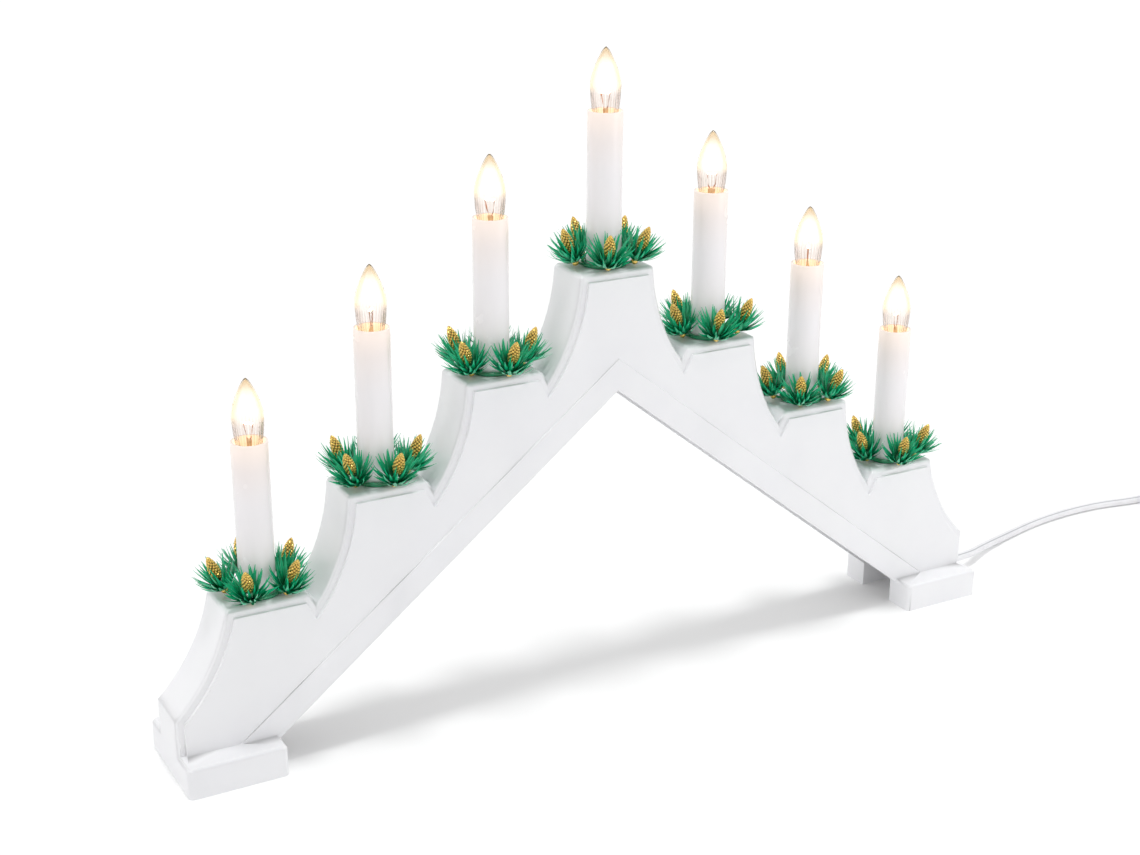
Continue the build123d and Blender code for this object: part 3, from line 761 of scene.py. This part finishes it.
def lamp_envelope():
    """The fluted glass of one lamp, its tube's rim at the origin."""
    bm = turned(glass_line(0)[::-1] + glass_line(glass_wall), 4 * flute_count)
    # The valley share also darkens the glass's colour there, as painted shade
    valley = bm.verts.layers.float.new("valley")
    for vert in bm.verts:
        share = min(max((flute_top - vert.co.z) / flute_fade, 0), 1)
        angle = math.atan2(vert.co.y, vert.co.x)
        radius = math.hypot(vert.co.x, vert.co.y)
        outside = radius > lamp_radius * glass_radius_shares[0] - glass_wall / 2
        if outside and share > 0:
            vert[valley] = share * (0.5 - 0.5 * math.cos(angle * flute_count))
            cut = flute_depth * vert[valley]
            vert.co.x *= 1 - cut / radius
            vert.co.y *= 1 - cut / radius
    return painted(bm, "from_rim", lambda place: place.z)


def lamp_cap():
    """The screw cap: shell, thread, glazed taper and solder tip."""
    top = -cap_bottom + cap_height
    low = top - cap_shell_height
    shell_line = [
        (cap_radius - 0.5, top),
        (cap_radius - 0.05, top - 0.3),
        (cap_radius - 0.3, top - 0.9),
        (cap_radius - 0.3, low + 0.5),
        (cap_radius - 0.6, low),
        (0, low),
    ]
    glaze_line = [(cap_radius - 0.6, low), (2.6, low - 1.0), (1.9, low - 1.3), (0, low - 1.3)]
    tip_line = flowing([(1.8, low - 1.2), (1.75, low - 2.0), (1.2, low - 2.4), (0, low - 2.5)], 3)
    start = low + 0.7
    root = cap_radius - thread_depth
    corners = [(root, start - thread_half_width), (cap_radius, start), (root, start + thread_half_width)]
    ridge = bmesh.new()
    ridge.faces.new([ridge.verts.new((radius, 0, height)) for radius, height in corners])
    wound(ridge, (0, 0, 1), thread_pitch * thread_turns, thread_turns, 32)
    bm = bmesh.new()
    add(bm, faced(turned(shell_line, 48), 0))
    add(bm, ridge)
    add(bm, faced(turned(glaze_line, 40), 1))
    add(bm, faced(turned(tip_line, 24), 2))
    return bm


def bar(start, end, radius, sides=8):
    """A thin round bar between two points."""
    run = end - start
    bm = bmesh.new()
    ends = {"radius1": radius, "radius2": radius, "depth": run.length}
    bmesh.ops.create_cone(bm, cap_ends=True, segments=sides, **ends)
    turn = run.to_track_quat("Z", "Y").to_matrix().to_4x4()
    bmesh.ops.transform(bm, matrix=Matrix.Translation((start + end) / 2) @ turn, verts=bm.verts)
    return softened(bm, radius / 4, 1, 60)


def lamp_mount():
    """The pressed stem, its two leads and the coiled filament."""
    low = lamp_show - glass_height
    stem_line = flowing([(radius, low + height) for radius, height in stem_profile], 3)
    stem = turned([*stem_line, (0, low + stem_top)], 24)
    for vert in stem.verts:
        share = min(max((vert.co.z - low - stem_pressed_from) / stem_pressed_over, 0), 1)
        vert.co.y *= 1 - stem_thinner_share * share
        vert.co.x *= 1 + stem_wider_share * share
    bm = bmesh.new()
    add(bm, faced(stem, 0))
    for side in (-1, 1):
        root, bend, top = (Vector((side * out, 0, low + height)) for out, height in lead_places)
        add(bm, faced(bar(root, bend, lead_radius), 1))
        add(bm, faced(bar(bend - Vector((0, 0, lead_overlap)), top, lead_radius), 1))
    half, height = lead_places[-1]
    coil = bmesh.new()
    ring = bmesh.ops.create_circle(coil, cap_ends=True, segments=6, radius=filament_wire_radius)["verts"]
    bmesh.ops.rotate(coil, cent=(0, 0, 0), matrix=Matrix.Rotation(math.pi / 2, 3, "Y"), verts=ring)
    bmesh.ops.translate(coil, vec=(-half, 0, filament_radius), verts=ring)
    wound(coil, (1, 0, 0), 2 * half, filament_turns, 10)
    add(bm, faced(coil, 2), Matrix.Translation((0, 0, low + height)))
    return bm


envelope_mesh = kept(lamp_envelope(), "envelope")
cap_mesh = kept(lamp_cap(), "cap")
mount_mesh = kept(lamp_mount(), "mount")


def lamp(number):
    """One lamp: glass, cap, and stem with filament."""
    x, rim = candle_axis(number)
    place = Matrix.Translation((x, 0, rim)) @ Matrix.Rotation(chance.uniform(0, math.pi), 4, "Z")
    parts = (
        (envelope_mesh, "glass", "glass", [clear_glass], "lamp_glass", 60.0),
        (cap_mesh, "screw_cap", "cap", [cap_nickel, cap_glaze, solder], "lamp_cap", 40.0),
        (mount_mesh, "stem", "filament", [stem_amber_glow, lead_copper, filament_hot], "lamp_mount", 40.0),
    )
    for mesh, name, slot, materials, stands_for, sharp_degrees in parts:
        bm = bmesh.new()
        stamp(bm, mesh, place)
        replaced = (f"{stands_for}_{number}",)
        piece(bm, f"{name}_{number}", f"lamp_{number}", materials, replaced, sharp_degrees)


# Pine rings and cones


def tuft_place(index):
    """A tuft's place on its ring: out from the band and leaning away."""
    return (
        Matrix.Rotation(2 * math.pi * index / tuft_count, 4, "Z")
        @ Matrix.Translation((tuft_reach, 0, tuft_lift))
        @ Matrix.Rotation(math.radians(tuft_lean_degrees), 4, "Y")
    )


def needle():
    """One flat pointed needle along X, with its length and width of one, in rows that let it curl once
    placed.
    """
    bm = bmesh.new()
    bmesh.ops.create_cone(bm, cap_ends=True, segments=4, radius1=0.5, radius2=0.06, depth=1)
    bmesh.ops.translate(bm, vec=(0, 0, 0.5), verts=bm.verts)
    sides = [e for e in bm.edges if abs(e.verts[0].co.z - e.verts[1].co.z) > 0.5]
    bmesh.ops.subdivide_edges(bm, edges=sides, cuts=3)
    bmesh.ops.rotate(bm, cent=(0, 0, 0), matrix=Matrix.Rotation(math.pi / 2, 3, "Y"), verts=bm.verts)
    for vert in bm.verts:
        vert.co.y *= 1 + needle_swell * math.sin(math.pi * vert.co.x) ** 2
    # Relief runs from the root to the tip, for the painted shade and sheen
    return painted(bm, "relief", lambda place: min(max(place.x, 0), 1))


def needle_placed(bm, length, width, curl, place):
    """Adds a needle of a length, a width and a curl at a place."""
    part = bmesh.new()
    part.from_mesh(needle_mesh)
    for vert in part.verts:
        turn = curl * vert.co.x
        reach = length / curl
        thick = vert.co.z * needle_thickness
        along = reach * math.sin(turn) - thick * math.sin(turn)
        raised = reach * (1 - math.cos(turn)) + thick * math.cos(turn)
        vert.co = Vector((along, vert.co.y * width, raised))
    add(bm, part, place)


def tuft(seed):
    """A cup with its tiers of needles, the hub's middle at the origin."""
    draw = random.Random(seed)
    bm = bmesh.new()
    cup = turned(flowing(cup_profile, 2), 4 * cup_ribs)
    ridge = cup.verts.layers.float.new("relief")
    for vert in cup.verts:
        wave = 0.5 + 0.5 * math.cos(cup_ribs * math.atan2(vert.co.y, vert.co.x))
        outer = min(math.hypot(vert.co.x, vert.co.y) / cone_radius, 1)
        # Rib tops get more relief: painted light on the ribs, painted shade between them
        vert[ridge] = 0.1 + 0.45 * wave * outer
        vert.co.x *= 1 + cup_rib_depth * wave * outer / ring_bore
        vert.co.y *= 1 + cup_rib_depth * wave * outer / ring_bore
    add(bm, cup)
    for tier, (count, height, root, climb, bend, length, width) in enumerate(needle_tiers):
        for index in range(count):
            turn = 2 * math.pi * (index + 0.5 * (tier % 2)) / count + draw.uniform(-0.15, 0.15)
            long = length * draw.uniform(0.86, 1.05)
            curl = math.radians(bend * draw.uniform(0.7, 1.3))
            twist = draw.uniform(-0.45, 0.45)
            start = Matrix.Rotation(turn, 4, "Z") @ Matrix.Translation((root, 0, height))
            outward = needle_outward_lift_degrees * max(math.cos(turn), 0)
            rise = math.radians(climb + outward + draw.uniform(-5, 5))
            while near_tube(start, rise, long, curl):
                rise += math.radians(4)
            place = start @ Matrix.Rotation(-rise, 4, "Y") @ Matrix.Rotation(twist, 4, "X")
            needle_placed(bm, long, width, curl, place)
    return bm


def near_tube(start, rise, length, curl):
    """Whether a needle of the tuft at turn zero would come too near its candle's tube."""
    reach = length / curl
    bent = Vector((reach * math.sin(curl), 0, reach * (1 - math.cos(curl))))
    tip = tuft_place(0) @ start @ Matrix.Rotation(-rise, 4, "Y") @ bent
    return math.hypot(tip.x, tip.y) < ring_bore + needle_tube_gap


def cone_surface(share):
    """Radius and height of a cone's body at a share of its length."""
    swell = math.sin(math.pi * min(share * 0.93 + 0.09, 1)) ** 0.62
    radius = cone_radius * cone_fullness * swell * (1 - cone_taper * share)
    return radius, cone_seat + cone_length * share * 0.97


def cone():
    """A scaled cone with its bead below, the hub's middle at the origin."""
    bm = bmesh.new()
    sides = [cone_surface(step / 12) for step in range(12)]
    top = cone_surface(1)[1]
    # Relief for the painted shade: deepest on the body between the scales
    add(bm, painted(turned([(0, cone_seat), *sides, (0, top)], 14), "relief", 0.0))
    scale = bmesh.new()
    disc = {"radius1": scale_root_radius, "radius2": scale_tip_radius, "depth": scale_thickness}
    bmesh.ops.create_cone(scale, cap_ends=True, segments=6, **disc)
    bmesh.ops.scale(scale, vec=(1, scale_squash, 1), verts=scale.verts)
    # Scale tops get full relief and undersides half, for the painted shade
    painted(scale, "relief", lambda place: 1.0 if place.z > 0 else 0.5)
    scale_mesh = kept(scale, "scale")
    golden = math.pi * (3 - math.sqrt(5))
    for index in range(cone_scales):
        share = scale_first_share + (scale_last_share - scale_first_share) * index / cone_scales
        radius, height = cone_surface(share)
        ahead, above = cone_surface(min(share + 0.02, 1))
        slope = math.atan2(radius - ahead, above - height)
        size = 0.6 + 0.55 * radius / cone_radius
        place = (
            Matrix.Rotation(golden * index, 4, "Z")
            @ Matrix.Translation((radius, 0, height))
            @ Matrix.Rotation(math.pi / 2 - slope - scale_lean, 4, "Y")
            @ Matrix.Scale(size, 4)
        )
        stamp(bm, scale_mesh, place)
    bpy.data.meshes.remove(scale_mesh)
    stalk = turned([(0, cone_seat + 0.3), (0.5, cone_seat + 0.3), (0.5, -2.0), (0, -2.0)], 10)
    add(bm, painted(stalk, "relief", 0.4))
    bead = bmesh.new()
    bmesh.ops.create_uvsphere(bead, u_segments=18, v_segments=12, radius=bead_radius)
    bmesh.ops.scale(bead, vec=(1, 1, 0.95), verts=bead.verts)
    add(bm, painted(bead, "relief", 0.8), Matrix.Translation((0, 0, -bead_drop)))
    return bm


needle_mesh = kept(needle(), "needle")
tuft_meshes = [kept(tuft(seed), "tuft") for seed in range(6)]
cone_mesh = kept(cone(), "cone")


def ring_band():
    """The band round the tube, with rounded edges."""
    outer = ring_bore + ring_band_width
    profile = [(ring_bore, 0), (outer, 0), (outer, ring_band_height), (ring_bore, ring_band_height)]
    band = softened(turned(profile, 56, closed=True), 0.35, 2, 50)
    # Low relief: the band is painted darker, as shade under the tufts
    return painted(band, "relief", 0.25)


def ring_arm():
    """The strip from the band up to a tuft's hub."""
    bm = bmesh.new()
    bmesh.ops.create_cube(bm, size=1)
    start = Vector((ring_bore + 1.0, 0, 0.9))
    end = Vector((tuft_reach - 0.6, 0, tuft_lift - 0.9))
    run = end - start
    bmesh.ops.scale(bm, vec=(run.length, arm_width, arm_thickness), verts=bm.verts)
    long = [e for e in bm.edges if abs(e.verts[0].co.x - e.verts[1].co.x) > 1]
    bmesh.ops.subdivide_edges(bm, edges=long, cuts=3)
    for vert in bm.verts:
        share = vert.co.x / run.length + 0.5
        vert.co.z -= arm_sag * math.sin(math.pi * share)
        vert.co.y *= 1 - arm_waist_share * math.sin(math.pi * share)
    softened(bm, 0.25, 2, 60)
    turn = Matrix.Rotation(-math.atan2(run.z, run.x), 4, "Y")
    bmesh.ops.transform(bm, matrix=Matrix.Translation((start + end) / 2) @ turn, verts=bm.verts)
    # Low relief: the arms are painted darker, as shade under the tufts
    return painted(bm, "relief", 0.2)


band_mesh = kept(ring_band(), "band")
arm_mesh = kept(ring_arm(), "arm")


def pine_ring(number):
    """One ring with its five tufts, and the five cones in them."""
    x = candle_axis(number)[0]
    base = Matrix.Translation((x, 0, deck_level(number) + ring_rest_gap))
    base = base @ Matrix.Rotation(math.radians(ring_turns_degrees[number - 1]), 4, "Z")
    greens = bmesh.new()
    golds = bmesh.new()
    stamp(greens, band_mesh, base)
    for index in range(tuft_count):
        stamp(greens, arm_mesh, base @ Matrix.Rotation(2 * math.pi * index / tuft_count, 4, "Z"))
        place = base @ tuft_place(index)
        stamp(greens, tuft_meshes[chance.randrange(len(tuft_meshes))], place)
        stamp(golds, cone_mesh, place @ Matrix.Rotation(chance.uniform(0, 2 * math.pi), 4, "Z"))
    body = f"ring_{number}"
    piece(greens, f"wreath_{number}", body, [needle_green], (f"pine_ring_{number}",), 50.0)
    piece(golds, f"gilt_cones_{number}", body, [cone_gold], (f"pine_cones_{number}",), 35.0)


# Mains cord, bush and plug


def coil_point(turns):
    """Place on the coil after that many turns, in metres."""
    start_radius = coil_inner_radius + coil_turn_pitch * coil_reversal_turns
    end = Vector(cord_route[-1])
    middle = Vector((end.x + cord_diameter, end.y - start_radius * MM, end.z))
    radius = coil_inner_radius + coil_turn_pitch * abs(turns - coil_reversal_turns)
    angle = math.pi / 2 - 2 * math.pi * turns
    share = min(max((turns - coil_reversal_turns) / coil_climb_turns + 0.5, 0), 1)
    lift = coil_lift * share**2 * (3 - 2 * share)
    return middle + Vector((radius * math.cos(angle), radius * math.sin(angle), lift)) * MM


def cord_points():
    """The whole cord's control points: its free run, its coil and its end in the plug."""
    count = round(coil_turns * coil_steps_per_turn)
    coil = [coil_point(index / coil_steps_per_turn) for index in range(count + 1)]
    last = coil[-1] + Vector((coil_end_run * MM, 0, 0))
    return [Vector(point) for point in cord_route] + coil + [last]


def mains_cord():
    """The cord as one smooth curve."""
    curve = bpy.data.curves.new("mains_cord_line", "CURVE")
    curve.dimensions = "3D"
    points = cord_points()
    spline = curve.splines.new("NURBS")
    spline.points.add(len(points) - 1)
    for held, place in zip(spline.points, points):
        held.co = (*place, 1)
    spline.order_u = 3
    spline.use_endpoint_u = True
    curve.resolution_u = 5
    curve.bevel_depth = cord_diameter / 2
    curve.bevel_resolution = 4
    curve.use_fill_caps = True
    curve.twist_mode = "Z_UP"
    curve.materials.append(sheath_grey)
    cord = in_scene("flex", curve)
    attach(cord, "arch")
    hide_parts("mains_cord", "cord_coil")
    return cord


def cord_bush():
    """The flanged grommet in the end wall, with its ribbed nose."""
    flange, waist, inner = bush_flange_radius, bush_waist_radius, bush_inner_end
    profile = [(bush_bore, inner), (flange - 0.3, inner), (flange, inner + 0.3), (flange, inner + 1.2)]
    profile += [(waist, inner + 1.3), (waist, 0.05), (flange - 0.3, 0.1), (flange, 0.4), (flange, 1.2)]
    profile += [(flange - 0.3, 1.5), (flange - 1.3, 1.6)]
    for rib in range(bush_ribs):
        start = 1.9 + rib * bush_rib_pitch
        radius = 3.6 - 0.16 * rib
        groove = radius - 0.4
        profile += [(groove, start), (groove, start + 0.5)]
        profile += [(radius, start + 0.7), (radius - 0.05, start + 1.2)]
    profile += [(2.8, bush_nose_end), (bush_bore, bush_nose_end - 0.1)]
    bm = turned(profile, 40, closed=True)
    place = Matrix.Translation(Vector(cord_exit) / MM) @ Matrix.Rotation(math.pi / 2, 4, "Y")
    bmesh.ops.transform(bm, matrix=place, verts=bm.verts)
    return piece(bm, "grommet", "arch", [bush_rubber], ("cord_bush",), 35.0)


def rounded_ring(bm, distance, half_width, half_height, square, count=40):
    """One closed ring of a plug's section, a rounded rectangle across Z."""
    ring = []
    for index in range(count):
        angle = 2 * math.pi * index / count
        c, s = math.cos(angle), math.sin(angle)
        x = half_width * math.copysign(abs(c) ** (2 / square), c)
        y = half_height * math.copysign(abs(s) ** (2 / square), s)
        ring.append(bm.verts.new((x, y, distance)))
    return [bm.edges.new((ring[index - 1], ring[index])) for index in range(count)]


def plug_shell(low, face):
    """The moulding from its tail to the face that the pins stand in."""
    shoulder = face - plug_head_length
    tail, tail_thick = plug_tail_width / 2, plug_tail_thickness / 2
    wide, thick = plug_width / 2, plug_thickness / 2
    levels = [
        (low, 6.0, 4.6, 2.4),
        (low + 0.6, tail, tail_thick, 3.0),
        (low + 6, tail + 1.6, tail_thick + 0.2, 3.2),
        (low + 13, tail + 5.4, thick - 0.6, 3.8),
        (shoulder - 3, wide - 1.5, thick - 0.2, 4.4),
        (shoulder, wide - 0.1, thick, 5.0),
        (face - 0.9, wide, thick, 5.0),
        (face - 0.2, wide - 0.3, thick - 0.3, 5.0),
        (face, wide - 1.0, thick - 1.0, 5.0),
    ]
    bm = bmesh.new()
    rings = [rounded_ring(bm, *level) for level in levels]
    for lower, upper in zip(rings, rings[1:]):
        bmesh.ops.bridge_loops(bm, edges=lower + upper)
    bmesh.ops.holes_fill(bm, edges=rings[0] + rings[-1], sides=0)
    bmesh.ops.recalc_face_normals(bm, faces=bm.faces)
    return bm


def plug_grip(index):
    """One of the grip bars across the plug's tail, at the origin."""
    bm = bmesh.new()
    bmesh.ops.create_cube(bm, size=1)
    bmesh.ops.scale(bm, vec=(11 + 1.4 * index, 0.9, 0.9), verts=bm.verts)
    return softened(bm, 0.25, 2, 60)


def plug_sleeve(low):
    """The ribbed sleeve round the cord's end."""
    line = [(0, 0.2), (2.4, 0.2)]
    for rib in range(sleeve_ribs):
        start = 0.4 + rib * sleeve_rib_pitch
        radius = 3.0 + 0.26 * rib
        groove = radius - 0.5
        line += [(radius, start), (radius + 0.1, start + 1.2), (groove, start + 1.4), (groove, start + 1.9)]
    return turned([*line, (4.4, low + 0.4), (0, low + 0.4)], 36)


def plug_pin(face):
    """One pin with the cover round its root."""
    top = face + pin_length
    root = face - pin_root + 1
    crown = [(pin_radius, top - 1.4), (pin_radius - 0.25, top - 0.5), (1.0, top), (0, top)]
    bm = bmesh.new()
    add(bm, faced(turned([(0, root), (pin_radius, root), *flowing(crown, 3)], 28), 0))
    end = face + pin_cover_length
    cover = [(pin_radius + 0.04, face - 0.4), (pin_radius + 0.05, end - 0.3), (pin_radius - 0.1, end)]
    add(bm, faced(turned(cover, 28), 1))
    return bm


def plug():
    """The moulded plug with grips and a ribbed sleeve, and its two pins."""
    end = cord_points()[-1] / MM
    along_x = Matrix(((0, 0, 1), (1, 0, 0), (0, 1, 0))).to_4x4()
    place = Matrix.Translation((end.x, end.y, plug_thickness / 2)) @ along_x
    low = plug_sleeve_length
    face = low + plug_body_length
    bm = bmesh.new()
    add(bm, plug_shell(low, face))
    for side in (-1, 1):
        for index in range(grip_count):
            lift = plug_tail_thickness / 2 + 0.05 + 0.2 * index
            add(bm, plug_grip(index), Matrix.Translation((0, side * lift, low + 5 + grip_pitch * index)))
    add(bm, plug_sleeve(low))
    bmesh.ops.transform(bm, matrix=place, verts=bm.verts)
    body = piece(bm, "plug_moulding", "arch", [plug_plastic], ("plug_body",), 35.0)
    pins = bmesh.new()
    for side in (-1, 1):
        add(pins, plug_pin(face), Matrix.Translation((side * pin_spacing / 2, 0, 0)))
    bmesh.ops.transform(pins, matrix=place, verts=pins.verts)
    metal_pins = piece(pins, "plug_contact_pins", "arch", [pin_nickel, plug_plastic], ("plug_pins",))
    return body, metal_pins


# Finish of the inner parts that stay as they are in the frame


def dress_inner_parts():
    """Materials for the holders, contacts, wires, clamp and screws."""
    finishes = {
        "socket_contacts": contact_brass,
        "link_wires": wire_insulation,
        "feed_wires": wire_insulation,
        "cord_clamp": clamp_plastic,
        "clamp_screws": screw_steel,
    }
    for number in range(1, candle_count + 1):
        finishes[f"lamp_holder_{number}"] = holder_plastic
    for name, material in finishes.items():
        materials = frame["nodes"][name].data.materials
        materials.clear()
        materials.append(material)


# Setting


def seen_plainly(tree):
    """One for the rays that show a surface as it is: seen, mirrored or through glass."""
    path = node(tree, "ShaderNodeLightPath").outputs
    seen = maths(tree, "MAXIMUM", path["Is Camera Ray"], path["Is Glossy Ray"])
    return maths(tree, "MAXIMUM", seen, path["Is Transmission Ray"])


def floor():
    """A plain white floor that keeps the arch's shadow."""
    bm = bmesh.new()
    bmesh.ops.create_grid(bm, x_segments=2, y_segments=2, size=30)
    mesh = kept(bm, "floor")
    material, tree, shader = new_material("floor_white", Roughness=0.9, Specular_IOR_Level=0.0)
    tone = blended(tree, noise(tree, 3.0), (0.95, 0.95, 0.95, 1), (0.97, 0.97, 0.97, 1))
    feed(tree, shader.inputs["Base Color"], tone)
    strength = maths(tree, "MULTIPLY", seen_plainly(tree), floor_lift)
    extra = node(tree, "ShaderNodeEmission", {"Strength": strength}).outputs[0]
    total = node(tree, "ShaderNodeAddShader", {0: shader.outputs[0], 1: extra}).outputs[0]
    feed(tree, tree.nodes["Material Output"].inputs["Surface"], total)
    mesh.materials.append(material)
    in_scene("floor", mesh)


def world():
    """Even studio light, dimmer behind the camera and overhead, seen as plain white."""
    made = bpy.data.worlds.new("studio")
    made.use_nodes = True
    tree = made.node_tree
    back = tree.nodes["Background"]
    back.inputs["Color"].default_value = (1, 1, 1, 1)
    seen = seen_plainly(tree)
    aim = node(tree, "ShaderNodeTexCoord").outputs["Generated"]
    inputs = {0: aim, 1: towards_camera_side}
    towards = node(tree, "ShaderNodeVectorMath", inputs, operation="DOT_PRODUCT").outputs["Value"]
    side = ranged(tree, towards, 0.25, 1.0, studio_bright, studio_dim, True)
    height = node(tree, "ShaderNodeSeparateXYZ", {"Vector": aim}).outputs["Z"]
    soft = maths(tree, "MULTIPLY", side, ranged(tree, height, 0.25, 1.0, 1.0, studio_zenith_share))
    level = maths(tree, "ADD", maths(tree, "MULTIPLY", soft, maths(tree, "SUBTRACT", 1.0, seen)), seen)
    feed(tree, back.inputs["Strength"], level)
    bpy.context.scene.world = made


def studio_lamp(name, kind, shines, power, place=(0, 0, 0), **settings):
    """A soft lamp at a place, shining in a direction."""
    light = bpy.data.lights.new(name, kind)
    light.energy = power
    for label, value in settings.items():
        setattr(light, label, value)
    holder = in_scene(name, light)
    holder.location = place
    holder.rotation_euler = Vector(shines).to_track_quat("-Z", "Y").to_euler()
    holder.visible_camera = False


def camera():
    """The photograph's viewpoint."""
    data = bpy.data.cameras.new("camera")
    data.lens = camera_lens
    data.sensor_width = 36
    sy, cy = math.sin(camera_yaw), math.cos(camera_yaw)
    sp, cp = math.sin(camera_pitch), math.cos(camera_pitch)
    forward = Vector((sy * cp, cy * cp, -sp))
    right = Vector((cy, -sy, 0))
    up = right.cross(forward)
    c, s = math.cos(camera_roll), math.sin(camera_roll)
    across = right * c + up * s
    above = up * c - right * s
    turn = Matrix((across, above, -forward)).transposed().to_4x4()
    view = in_scene("camera", data)
    view.matrix_world = Matrix.Translation(camera_place) @ turn
    bpy.context.scene.camera = view


bpy.context.scene.view_settings.view_transform = "Standard"
camera()
world()
floor()
studio_lamp("overhead", "SUN", (0, 0.03, -1), 1.05, angle=math.radians(12))
studio_lamp("left_end", "SUN", (1, 0.25, -0.35), 0.15, angle=math.radians(40))
from_right = Vector(right_lamp_aim) - Vector(right_lamp_place)
studio_lamp("right_end", "AREA", from_right, 0.4, right_lamp_place, size=0.3)

casing()
for candle in range(1, candle_count + 1):
    candle_tube(candle)
    lamp(candle)
    pine_ring(candle)
flex = mains_cord()
grommet = cord_bush()
moulding, contact_pins = plug()
dress_inner_parts()

lamp_meshes = (envelope_mesh, cap_mesh, mount_mesh)
ring_meshes = (needle_mesh, cone_mesh, band_mesh, arm_mesh, *tuft_meshes)
for kept_mesh in (*lamp_meshes, *ring_meshes):
    bpy.data.meshes.remove(kept_mesh)
